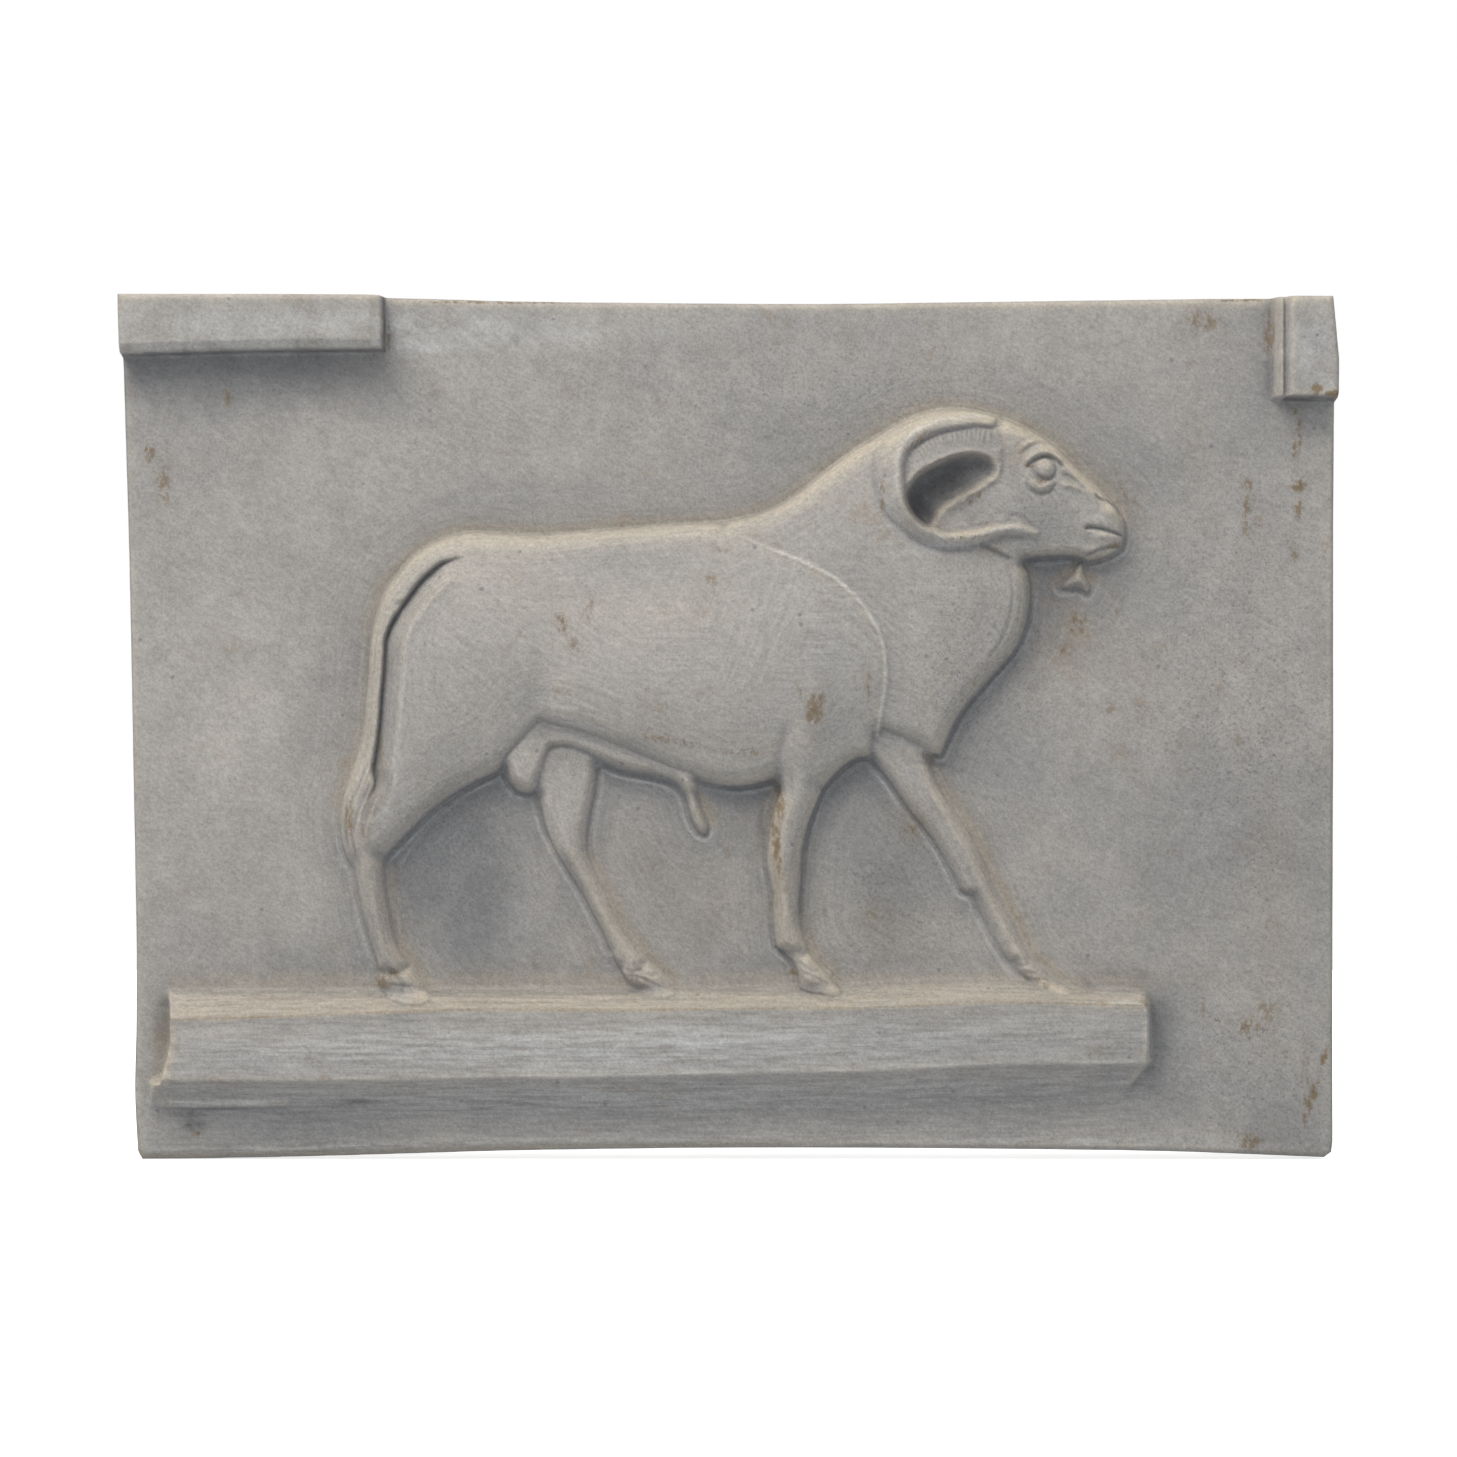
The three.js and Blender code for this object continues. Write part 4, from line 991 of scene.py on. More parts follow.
def close_shell(shell, name, material, node, paint=None):
    """Turns a shell into a piece, without the vertices that no face uses."""
    places = np.vstack(shell.places)
    heights = np.concatenate(shell.heights)
    normals = np.vstack(shell.normals)
    faces = np.vstack([f for f, _, _ in shell.faces])
    curved = np.concatenate([np.full(len(f), c) for f, c, _ in shell.faces])
    flat = np.concatenate([np.full(len(f), c) for f, _, c in shell.faces])
    used, order = np.unique(faces, return_inverse=True)
    faces = order.reshape(faces.shape)
    places, heights, normals = places[used], heights[used], normals[used]
    tints = paint(places) if paint else None
    points = frame_points(places, heights)
    return make_piece(name, points, faces, normals, curved, flat, material, node, tints)


# ------------------------------------------------------------------ the face

SIDE_ROWS = [-5.7, -7.4, COAT_BACK]  # heights of the rows on the face coat's sides, below the forms' roots
HALF_LENGTH = 150.0  # about half the panel's length


def widened(places, by):
    """Places moved away from the lower edge's middle, by some millimetres at the panel's ends."""
    return places * (1 + by / HALF_LENGTH)


def evened(loop, pitch):
    """A closed outline with its points at most a pitch apart, and none much closer than that."""
    kept = [loop[0]]
    for point in loop[1:]:
        if np.hypot(*(point - kept[-1])) > 0.2 * pitch:
            kept.append(point)
    return densify(np.array(kept), pitch)


def build_face(relief, material, paint):
    """A closed piece for each raised form, and the panel with its sockets for them."""
    names = ["ledge"] + BLOCKS + sorted(RAM_NODES, key=lambda n: -np.ptp(LOOPS[n], axis=0).prod())
    loops = [push_out(LOOPS[n]) if n in BLOCKS else LOOPS[n] for n in names]
    outer = evened(OUTER, 1.0)
    co, triangles, middle = triangulate(relief, [outer] + [evened(loop, 0.5) for loop in loops])
    owner = label(middle, loops)
    heights = np.maximum(sample(relief, co), ROOT + 0.1)
    normals = field_normals(relief, co)
    for k, name in enumerate(names):
        mine = triangles[owner == k]
        edges = rim(mine)
        shell = Shell()
        top = shell.layer(co, heights, normals)
        root = shell.layer(co, ROOT)
        shell.skin(top[mine], curved=True)
        shell.wall(top, root, edges)
        shell.skin(root[cap(co, edges)][:, ::-1], flat=True)
        close_shell(shell, name + "_cast", material, name, paint)
    build_panel(co, triangles, owner, heights, normals, material, paint)


def build_panel(co, triangles, owner, heights, normals, material, paint):
    """The ground with its sockets for the forms, and the rough sides of the face coat."""
    ground = triangles[owner < 0]
    shell = Shell()
    top = shell.layer(co, heights, normals)
    root = shell.layer(co, ROOT)
    shell.skin(top[ground], curved=True)
    shell.wall(top, root, rim(ground))
    raised = triangles[owner >= 0]
    shell.skin(root[cap(co, rim(raised))], flat=True)
    edges = rim(triangles)
    wavy = noise(2.5, 2.5, 21)
    upper = root
    for row in SIDE_ROWS:
        shift = 0.12 * sample(wavy, co + row) - 0.1
        lower = shell.layer(widened(co, shift[:, None]), row)
        shell.wall(upper, lower, edges)
        upper = lower
    shell.skin(upper[cap(co, edges)][:, ::-1], flat=True)
    close_shell(shell, "face_panel_cast", material, "face_panel", paint)


# ------------------------------------------------------------------ the back and the hanger

BACK_ROWS = [COAT_BACK - 0.8, COAT_BACK - 4, COAT_BACK - 7.5]  # heights of the rows on the backing's sides
POCKET_MIDDLE = (0.0, 184.0)
POCKET_SIZE = (92.0, 30.0)
POCKET_DEPTH = 9.0
POCKET_ROUND = 6.0
WIRE_RADIUS = 1.1
WIRE_HEIGHT = PANEL_BACK + 4.2
WIRE_ROUTE = [
    (-34, -7.5), (-37, -4.2), (-34.4, -1.4), (-20, 0), (-10, 4.6), (0, 6.4), (10, 4.6), (20, 0),
    (34.4, -1.4), (37, -4.2), (34, -7.5),
]


def rounded_rectangle(x, z, width, height, radius, pitch=0.8):
    """An outline with round corners, anticlockwise."""
    points = []
    for quarter, (sx, sz) in enumerate([(1, 1), (-1, 1), (-1, -1), (1, -1)]):
        for k in range(7):
            angle = math.pi / 2 * (quarter + k / 6)
            px = x + sx * (width / 2 - radius) + radius * math.cos(angle)
            pz = z + sz * (height / 2 - radius) + radius * math.sin(angle)
            points.append((px, pz))
    return densify(np.array(points), pitch)


def sculpt_back():
    """The trowelled back: rounded over at the edges, with a pocket for the hanger."""
    edge = signed(OUTER, 8)
    field = PANEL_BACK + 0.28 + 0.16 * noise(16, 9, 31) + 0.1 * noise(9, 1.6, 32, 0.5)
    field += 0.05 * noise(1.4, 1.2, 33)
    field += 0.35 * ring(smooth_line([(-90, 60), (-60, 82), (-20, 90), (30, 84)]), 1.2, 0.3)
    field += 0.3 * ring(smooth_line([(20, 40), (60, 62), (110, 66)]), 1.0, 0.3)
    round_over = 2.6 + 0.8 * noise(20, 20, 34)
    t = 1 - np.clip(edge / np.maximum(round_over, 1), 0, 1)
    field += 1.9 * (1 - np.sqrt(np.clip(1 - t * t, 0, 1)))
    mouth = signed(rounded_rectangle(*POCKET_MIDDLE, *POCKET_SIZE, POCKET_ROUND), 8)
    wall = ease(0, 1.0, mouth + 0.15 * noise(3, 3, 35))
    floor = PANEL_BACK + POCKET_DEPTH - 0.4 + 0.12 * noise(3, 3, 36)
    field = field * (1 - wall) + floor * wall
    field -= 0.15 * bell(mouth + 0.8, 0.7)
    return blur(field, 0.25)


def build_back(material):
    """The backing coat: its flat joint with the face coat, wavy sides and the trowelled back."""
    field = sculpt_back()
    outer = evened(OUTER, 1.4)
    co, triangles, _ = triangulate(field, [outer])
    shell = Shell()
    normals = -field_normals(field, co)
    edges = rim(triangles)
    wavy = noise(3, 3, 37)
    joint = shell.layer(widened(co, -0.35), COAT_BACK)
    shell.skin(joint[cap(co, edges)], flat=True)
    upper = joint
    for row in BACK_ROWS:
        shift = 0.16 * sample(wavy, co + row) - 0.12
        lower = shell.layer(widened(co, shift[:, None]), row)
        shell.wall(upper, lower, edges)
        upper = lower
    back = shell.layer(co, sample(field, co), normals)
    shell.wall(upper, back, edges)
    shell.skin(back[triangles][:, ::-1], curved=True)
    close_shell(shell, "backing_coat_cast", material, "backing_coat")


def build_wire(material):
    """A single strand of wire, bowed upwards across the pocket, with its legs bent in."""
    route = smooth_line(WIRE_ROUTE, 1.0) + POCKET_MIDDLE
    tangent = np.gradient(route, axis=0)
    tangent /= np.linalg.norm(tangent, axis=1, keepdims=True)
    sides = 16
    turn = np.arange(sides) * 2 * math.pi / sides
    shell = Shell()
    rings = []
    for (x, z), (tx, tz) in zip(route, tangent):
        places = np.stack([x - tz * WIRE_RADIUS * np.cos(turn), z + tx * WIRE_RADIUS * np.cos(turn)], axis=1)
        rings.append(shell.layer(places, WIRE_HEIGHT + WIRE_RADIUS * np.sin(turn)))
    shell.tube(rings)
    shell.fan(rings[0])
    shell.fan(rings[-1][::-1])
    close_shell(shell, "hanger_wire_strand", material, "hanger_wire")


def build_dab(name, seed, material):
    """A lump of plaster pressed over one leg of the wire: low, uneven and rounded off."""
    low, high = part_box(name)
    left, foot = to_drawing(low.x, low.z)
    right, top = to_drawing(high.x, high.z)
    middle = np.array([(left + right) / 2, (foot + top) / 2])
    half = np.array([(right - left) / 2, (top - foot) / 2])
    floor = (GROUND_Y - low.y) / MM
    thick = (high.y - low.y) / MM
    random = np.random.default_rng(seed)
    sides, rows = 72, 16
    turn = np.arange(sides) * 2 * math.pi / sides
    waves = sum(
        random.normal(0, 0.03 / k**0.5) * np.cos(k * turn + random.uniform(0, 6)) for k in range(2, 9)
    )
    lumps = [
        (random.uniform(-0.6, 0.6, 2), random.normal(0, 0.5), random.uniform(0.2, 0.45)) for _ in range(9)
    ]
    shell = Shell()
    rings = []
    for row in range(rows):
        t = row / rows
        scale = (1 - t**2.6) ** 0.5 if row else 1.0
        reach = (0.95 + waves) * scale
        square = (np.abs(np.cos(turn)) ** 4 + np.abs(np.sin(turn)) ** 4) ** -0.25
        unit = np.stack([np.cos(turn), np.sin(turn)], axis=1) * (square * reach)[:, None]
        unit = np.clip(unit, -1, 1)
        rise = sum(h * np.exp(-((unit - at) ** 2).sum(axis=1) / w**2) for at, h, w in lumps)
        height = floor - thick * 0.86 * t - np.clip(rise, -0.8, 0.6) * t
        rings.append(shell.layer(middle + unit * half, np.clip(height, floor - thick, floor)))
    shell.tube(rings)
    peak = shell.layer(middle[None], floor - thick * 0.9)
    last = rings[-1]
    shell.skin(np.stack([last, np.roll(last, -1), np.full(sides, peak[0])], axis=1)[:, ::-1])
    shell.fan(rings[0])
    close_shell(shell, name + "_lump", material, name)


# ------------------------------------------------------------------ the marks that age has left, and painted light and shade

# Marks: x, z, half width, half height, turn in degrees, strength.

# Rust and ochre stains.
OCHRE = [
    # the blocks and the top edge
    (-131, 190, 2, 4, 0, 0.3), (144.2, 191.4, 1.6, 1.3, -30, 1.2), (149, 190.2, 2.6, 0.8, 0, 1.4),
    (117, 209, 6, 3.5, 0, 0.5), (133.5, 205, 1.4, 8, 0, 0.6), (-60, 213.7, 22, 0.45, 0, 0.8),
    (126, 214.2, 8, 0.4, 0, 1), (-127, 190, 1.4, 3, 0, 0.6), (-99, 192, 3, 1.2, 0, 0.35),
    (-86.5, 205, 0.6, 5, 0, 0.6), (148.5, 190, 0.8, 0.6, 0, 0.9),
    # the head and the horn
    (98, 166, 3, 9, 35, 0.35), (94.5, 152.8, 2.4, 0.9, 10, 0.8), (76.5, 168.6, 1.8, 1.2, 0, 0.6),
    (73.3, 172.4, 0.9, 0.8, 0, 0.9), (46, 179, 6, 1, 38, 0.5), (36.6, 166, 0.9, 6, 0, 0.6),
    (58, 154.6, 6, 0.7, 5, 0.6), (60, 164.6, 4, 0.7, 35, 0.7),
    # the body
    (-43, 133, 1.6, 3.4, 15, 0.75), (-36, 137, 1, 3.5, -12, 0.6), (-40, 128, 1.8, 3, 10, 0.5),
    (-6, 144, 4, 1.6, 0, 0.45), (-8, 136, 2.5, 1, 0, 0.35), (-22, 117, 1.2, 2, 0, 0.4),
    (-16, 104, 11, 1.5, -9, 0.5), (2, 101, 9, 1.3, 0, 0.5), (-6, 116, 5, 1, 4, 0.4),
    (20, 112, 2.2, 4.6, -12, 0.9), (16, 116, 0.8, 3.5, 10, 0.6), (33, 118, 1.5, 6, 0, 0.45),
    (-88, 100, 1.2, 10, 3, 0.4), (48, 100, 3, 1, -20, 0.5), (-3, 151.5, 4, 1, -20, 0.4),
    (-46, 104, 1.6, 4, 30, 0.3), (-70, 149.5, 5, 0.7, 15, 0.4), (60, 119, 1, 7, -30, 0.3),
    # between and on the legs
    (22, 64, 0.8, 10, 8, 0.35), (10.4, 78, 1.1, 8, 6, 0.95), (11.4, 88, 1.2, 5, 0, 0.7),
    (9.6, 64, 1, 5, 0, 0.4), (-96, 85, 1.4, 6, 0, 0.6), (-20, 71, 2, 3, 0, 0.35), (34, 60, 3, 6, -30, 0.35),
    (45, 82, 3, 4, -30, 0.4), (-2, 76, 1.2, 2.4, 0, 0.45), (2, 84, 2, 4, 0, 0.3),
    # the hooves and the ledge's top
    (-87.5, 44, 3, 2.2, 20, 0.6), (-85, 46.5, 1.6, 1, -30, 0.9), (0, 35.4, 90, 0.8, 1, 0.3),
    (14, 46, 2.5, 2, 0, 0.5), (-24, 44, 4, 2, -20, 0.4), (76, 44, 4, 1.6, -25, 0.5),
    # the ledge and the ground below it
    (-134.6, 5.8, 1.6, 0.6, 10, 0.8), (-58, 24, 12, 1, 1, 0.25), (-30, 0.5, 24, 0.8, 1, 0.8),
    # the ground on the right
    (140, 150, 1.2, 3, 0, 0.7), (137, 140, 0.8, 4, 0, 0.5), (121, 118, 2, 5, -20, 0.35),
    (100, 96, 2, 4, 30, 0.3), (86, 133, 4, 5, 20, 0.5), (82, 127, 4, 3, 0, 0.4), (95, 138, 2, 7, 0, 0.35),
    (94, 112, 3, 3, 30, 0.4), (128, 33, 5, 3, 0, 0.55), (142.5, 20, 1.4, 9, 0, 0.5),
    (128.5, 4, 4, 2.4, 0, 0.7), (126, 105, 1.6, 7, 0, 0.4), (131, 158, 1.6, 5, 0, 0.4),
    (127.5, 165, 1.2, 4, 0, 0.4), (140.6, 179, 0.9, 5.5, -8, 1), (139.3, 186.3, 0.8, 1, 0, 1.3),
    (141, 168, 2, 1.2, 30, 1.3), (141, 162, 1.2, 4, 0, 0.8), (128, 160, 1.2, 7, 0, 0.7),
    (128, 168, 1.8, 1.6, 0, 0.7), (153, 182, 1.5, 9, 0, 0.5), (144, 14, 0.8, 7, -18, 1.1),
    (147, 24, 0.6, 3, -20, 1.3), (117, 36, 1.4, 3.4, 0, 0.5), (133, 36, 4, 6, 0, 0.4),
    (115, 178, 4, 8, 0, 0.3), (106, 127, 5, 2, 0, 0.35), (143, 27, 1.2, 6, 0, 0.4),
    (112, 104, 3, 1.2, 20, 0.35),
    # the ground on the left and above
    (-112, 152, 1.5, 5, 0, 0.25), (-146.5, 176, 1.2, 2.5, 0, 1), (-143, 168, 2.5, 7, 0, 0.5),
]
# Where the ground is speckled.
STIPPLE = [
    (80, 160, 22, 14, 0, 0.6), (54, 168, 12, 8, 0, 0.6),
    (60, 126, 20, 22, 0, 1),
    (-68, 78, 14, 20, 0, 0.8), (40, 68, 16, 20, 0, 0.8),
    (128, 110, 26, 60, 0, 1), (130, 25, 24, 26, 0, 1),
    (10, 190, 60, 16, 0, 0.8),
]
# Brown films.
BROWN = [
    (70, 184, 20, 1.4, -30, 0.4), (88, 172, 1.6, 8, 35, 0.5),
    (-34, 110, 12, 2.2, -10, 0.27), (-4, 105, 12, 1.8, -6, 0.25), (16, 104, 7, 1.6, 0, 0.27),
    (10.4, 74, 1.4, 18, 4, 0.8), (-91, 86, 2, 12, -12, 0.6), (45, 84, 8, 6, -40, 0.35),
    (-20, 64, 22, 18, 0, 0.22), (40, 56, 14, 12, 0, 0.2),
    (60, 44, 50, 2.5, 0, 0.35), (12, 44, 30, 2, 0, 0.35), (-60, 45, 30, 2.5, 0, 0.4),
    (-142.6, 29, 2.4, 8.5, 0, 0.9), (-141.4, 33, 0.7, 5, 0, 1), (-115, 40, 24, 2, 0, 0.3),
    (100, 122, 5, 12, 30, 0.3), (84, 128, 8, 12, 20, 0.45), (134, 60, 6, 30, 0, 0.3),
]
# Painted highlight: pale patches where faces, bevels, edges and the ledge's step should catch more light.
PAINTED_HIGHLIGHT_SPOTS = [
    (-95, 207, 60, 4, 0, 0.9), (-120, 202.2, 46, 1.5, 0.6, 2.2), (-90, 202.6, 6, 1.6, 1, 1.5),
    (143, 200, 8, 12, 0, 0.9),
    (50, 152.4, 9, 1.5, 6, 0.9), (38.6, 160.6, 1.3, 6, 28, 0.7), (72.6, 153, 6, 1.2, 20, 0.4),
    (-44, 114, 12, 1.6, -14, 0.6), (-38, 108, 10, 1, -14, 0.6), (20, 132, 20, 10, -30, 0.2),
    (-30, 28, 110, 6, 1, 1), (-127, 13.6, 17, 0.9, 0.2, 1.4), (-20, 15.6, 125, 4, 1, 0.5),
    (-128, 24, 20, 6, 0, 0.3),
]
# Painted shade: a grey wash in places that the relief alone doesn't darken enough.
SHADE = [
    # the blocks and the top edge
    (-122, 193, 34, 6, 0, 0.35),
    # the head and the horn
    (68.5, 173, 2.5, 6, 10, 0.4), (77, 161, 12, 7, -20, 0.28),
    # the body
    (56, 128, 12, 16, 0, 0.25),
    # between and on the legs
    (15.5, 71, 3.4, 14, 3, 0.35), (62.5, 80, 3, 16, 30, 0.3), (-52, 80, 7, 12, 20, 0.2),
    (-74, 73, 14, 18, -20, 1), (-64, 64, 12, 18, -10, 0.95), (-80, 72, 8, 18, -25, 0.4),
    (-16, 70, 18, 18, 0, 0.52), (40, 68, 14, 20, 0, 0.65), (12, 72, 5, 18, 0, 0.2),
    (62, 72, 8, 22, -30, 0.42), (-38, 72, 6, 20, -28, 0.4), (70, 96, 14, 20, 20, 0.25),
    (-36, 78, 5, 16, -28, 0.3), (-87, 62, 5, 22, 8, 0.75),
    # the ledge and the ground below it
    (107, 32, 4, 10, 0, 0.45), (-142, 30, 2.2, 8, 0, 0.15), (94, 24, 8, 9, 0, 0.3),
    (-20, 8, 90, 7, 0, 0.16),
    # the ground on the right
    (78, 138, 6, 12, 15, 0.35), (125, 78, 40, 26, 0, 0.42), (112, 24, 10, 16, 0, 0.25),
    (136, 8, 14, 12, 0, 0.2), (120, 150, 30, 30, 0, 0.08), (77, 138, 5, 8, 0, 0.3),
    (82, 146.5, 9, 4, 2, 0.6),
    # the ground on the left and above
    (30, 192, 90, 16, 0, 0.08),
]
# Stone warmed by hands.
WARMTH = [
    (-40, 132, 46, 18, 2, 1), (50, 132, 16, 18, 0, 0.8),
    (-20, 66, 22, 22, 0, 1), (60, 52, 40, 8, 0, 0.8),
    (-60, 48, 40, 6, 0, 0.8),
    (-120, 110, 40, 50, 0, 0.5),
]
# Nearly black: dirt and painted shade in the horn's hollow, painted shadow in deep corners, and a few smears.
SOOT_AND_SHADE_SPOTS = [
    (53, 168, 11, 5.2, 34, 1), (46.6, 161.8, 4.4, 5.4, 30, 1.2),
    (50, 98, 9, 0.5, -12, 0.35),
    (6.5, 83, 0.8, 6, 5, 0.5),
    (88, 43.2, 1.7, 2.1, 0, 0.35), (95, 46, 5, 1.1, 0, 0.2), (102, 45, 1.8, 1.8, 0, 0.3),
    (-85.5, 47, 1, 0.8, -30, 0.7),
    (-135.6, 8.8, 3.2, 2.6, -30, 0.6), (-133.6, 10.6, 2.2, 0.6, -20, 0.45), (-94, 14, 5, 0.5, 0, 0.6),
    (-128, 12.3, 16, 0.35, 0.2, 0.5), (107, 33, 3, 8, 0, 0.12),
    (82, 143, 6, 3, 0, 0.3), (136, 8, 12, 10, 0, 0.2),
]


def spots(marks):
    """Soft spots of colour over the grid. Where some overlap, the strongest counts."""
    field = np.zeros(X.shape, np.float32)
    for x, z, across, up, turn, strength in marks:
        cells = window(np.array([[x, z]]), 2.2 * max(across, up))
        np.maximum(field[cells], strength * swell(x, z, across, up, turn, cells), out=field[cells])
    return field


def ledge_marks(depth):
    """Where the ledge is, its bevel, the worn folds of its front, its tan, and the ground just above it."""
    crown, brow = ledge_line(LEDGE_CROWN), ledge_line(LEDGE_BROW)
    here = ease(-141.2, -140.8, X) * ease(106, 102, X) * (depth < 0.5)
    bevel = ease(1.8, -1.0, Z - crown) * ease(-0.5, 0.3, Z - brow) * here
    fold = bell(Z - brow - 0.1, 0.38) * here
    top = 0.55 * ease(49, 43, Z) * ease(-0.5, 1.5, Z - crown) * here
    tan = np.maximum.reduce([0.55 * bevel, fold, top])
    second = bell(Z - brow - 2.0 - 0.5 * noise(22, 60, 41), 0.22) * ease(-0.4, 0.6, noise(9, 60, 42))
    above = here * ease(6, 2, Z - crown) * ease(-0.8, 0.6, Z - crown)
    return here, bevel, np.maximum(fold, 0.8 * second * here), tan, above


def line_marks(on_ledge):
    """Painted shade on the flank by the tail, painted highlight and pale wear on arrises, tan by the cape's
    edge.
    """
    tail_gap, tail_along, tail_side = near(TAIL_LINE, 7)
    cape_gap, cape_along, cape_side = near(CAPE_LINE, 4)
    cape_ends = ease(0.04, 0.3, cape_along)
    # Flank: the sloping band right of the tail's groove, which gets painted shade.
    flank = ease(5, 3.6, tail_gap) * (tail_side > 0) * ease(0.1, 0.25, tail_along)
    # Painted highlight along the horn's crest, the ledge's bead, and the ridge beside the tail's groove.
    painted_highlight = 0.8 * ring(HORN_CREST, 0.6, 0.1) + 0.6 * ring(LEDGE_BEAD, 0.5, 0.1)
    painted_highlight += 0.6 * bell(tail_gap - 5.2, 0.7) * (tail_side > 0) * ease(0.15, 0.3, tail_along)
    # Pale wear and painted highlight on the ledge's lip, the horn's crest, the ledge's bead and the cape's
    # edge.
    pale = 0.6 * bell(Z - ledge_line(LEDGE_LIP) - 0.2, 0.4) * on_ledge * ease(-95, -50, X)
    pale += 0.5 * ring(HORN_CREST, 0.5, 0.1) + 0.7 * ring(LEDGE_BEAD, 0.4, 0.1)
    pale += 0.9 * bell(cape_gap, 0.4) * cape_ends
    tan = 0.5 * bell(cape_gap - 0.9, 0.4) * (cape_side < 0) * cape_ends
    return flank, painted_highlight, pale, tan


def grime_and_shade_mask(relief, tight, depth, under, stand):
    """Grime and painted shade in the hollows, in the engraved lines, and where the forms meet the ground."""
    contact = bell(depth + 0.1, 0.22) * (0.12 + 0.88 * under) * stand
    lines = [dark * ring(line, 0.8 * width, 0.1) for line, width, _, dark in CREASES]
    grime_and_shade = np.clip((blur(relief, 4.5) - relief) / 4.0, 0, 1) * 0.5
    grime_and_shade += np.clip((tight - relief) / 0.45, 0, 1) * 0.45 * (1 - 0.85 * bell(depth + 0.6, 1.6) * stand)
    return np.maximum.reduce([grime_and_shade, 0.65 * contact, *lines])


def grey_mask(relief, depth, under, flank):
    """A broad grey wash and painted shade in what lies low, thinner along the upper sides of the forms."""
    grey = np.clip((blur(relief, 13) - relief) / 3.6, 0, 1)
    grey *= 1 - 0.45 * (1 - under) * ease(-14, -6, depth) * ease(1, -1, depth)
    grey += 0.45 * flank
    grey += 0.3 * np.clip((blur(relief, 4) - relief) / 1.6, 0, 1) * ease(46, 56, Z) * ease(104, 92, Z)
    return grey


def patina_and_light(relief, regions):
    """Colour masks over the face, in three layers of four.

    The patina layer is grime with painted shade, cream with painted highlight on worn up-facing tops,
    ochre stains, and soot with painted shadow. The flow is the distance to the forms that the brush strokes
    follow, the ledge's front, stippled patches, and pale wear with painted highlight. The wash layer is the
    broad grey with painted shade, tan edges along the tops of the forms, painted highlight, and the warmth
    of handled stone.
    """
    depth, under, edge, feet = (regions[key] for key in ("forms", "under", "edge", "feet"))
    stand = 0.15 + 0.85 * ease(41, 50, Z)
    tight = blur(relief, 1.1)
    on_ledge, bevel, fold, ledge_tan, above = ledge_marks(depth)
    flank, painted_highlight, pale, cape_tan = line_marks(on_ledge)

    # Cream: waxy patina and painted highlight on up-facing tops and convex crests.
    cream = np.clip(-np.gradient(tight, STEP)[0] / 0.9, 0, 1) * 0.66
    cream += np.clip((relief - tight) / 0.5, 0, 1) * 0.4
    cream *= 1 - 0.35 * ease(30, 10, X) * ease(135, 145, Z)
    cream *= 1 - on_ledge * ease(45, 43, Z) * ease(33, 34, Z) * (0.6 + 0.4 * fold)
    cream = np.maximum(cream, 0.38 * bevel * (1 - fold))

    # Less grime and painted shade under the ledge, above its left end, along the top, and below the right
    # block.
    bottom = ease(37, 30, Z) * ease(108, 104, X) + ease(198, 201, Z)
    bottom = np.maximum(bottom, ease(46, 42, Z) * ease(-140, -141.5, X))
    less_grime_and_shade = np.maximum(bottom, ease(192, 196, Z) * ease(-80, -86, X))
    less_grime_and_shade_right = ease(131, 136, X) * ease(181, 186, Z) * ease(189.4, 188.8, Z)
    # Grime with painted shade: darker in hollows and engraved lines, and at the forms' feet, most under the
    # forms.
    grime_and_shade = grime_and_shade_mask(relief, tight, depth, under, stand)
    grime_and_shade *= 1 - 0.8 * above
    grime_and_shade *= 1 - 0.7 * less_grime_and_shade
    grime_and_shade *= 1 - 0.7 * less_grime_and_shade_right
    # Grey wash with painted shade in what lies low, on the flank by the tail, and in the SHADE spots.
    grey = grey_mask(relief, depth, under, flank)
    grey *= 1 - 0.7 * above
    grey *= 1 - 0.7 * less_grime_and_shade_right
    grey += spots(SHADE) * (1 - 0.75 * ease(70, 84, Z) * (X < -46) * ease(-0.5, 0.5, depth))

    upper_edge = np.exp(-(np.abs(depth + 1.2) / 1.6)) * (1 - under) ** 2
    lower_left = 0.4 * ease(1.9, 1.2, edge) * ease(7, 3, Z) * ease(20, -10, X)
    tan = np.maximum.reduce([upper_edge, ledge_tan, cape_tan, lower_left, spots(BROWN)])
    # Painted highlight on the burr beyond the channel, on the bottom arris, and in the listed spots.
    burr = bell(depth + 1.5, 0.5) * (0.2 + 0.5 * under) * stand
    arris = bell(edge - 2.3, 0.7) * ease(9, 4, Z)
    painted_highlight = np.maximum.reduce([painted_highlight, burr, 0.6 * arris, spots(PAINTED_HIGHLIGHT_SPOTS)])
    # Soot and painted shadow: the spots, the lines under the blocks' undercut feet, and the tail's groove.
    soot_and_shade = np.maximum.reduce([spots(SOOT_AND_SHADE_SPOTS), 0.75 * feet, 0.75 * ring(TAIL_LINE, 0.28, 0.1)])
    ochre = np.maximum(spots(OCHRE), 0.35 * fold)
    # The painted shadow lines at the blocks' feet darken this mask too.
    grime_and_shade = np.maximum(grime_and_shade, feet)
    return {
        "patina_and_light": [np.clip(grime_and_shade, 0, 1), np.clip(cream, 0, 1), ochre, soot_and_shade],
        "flow": [0.5 + depth / 60, on_ledge * ease(45, 42, Z), spots(STIPPLE), np.clip(pale, 0, 1)],
        "wash_and_shading": [np.clip(grey, 0, 1), np.clip(tan, 0, 1), painted_highlight, spots(WARMTH)],
    }


def painter(layers):
    """A function that gives each layer's four values at some drawing points."""
    def paint(places):
        return {
            name: np.stack([sample(field, places) for field in fields], axis=1)
            for name, fields in layers.items()
        }
    return paint


# ------------------------------------------------------------------ materials


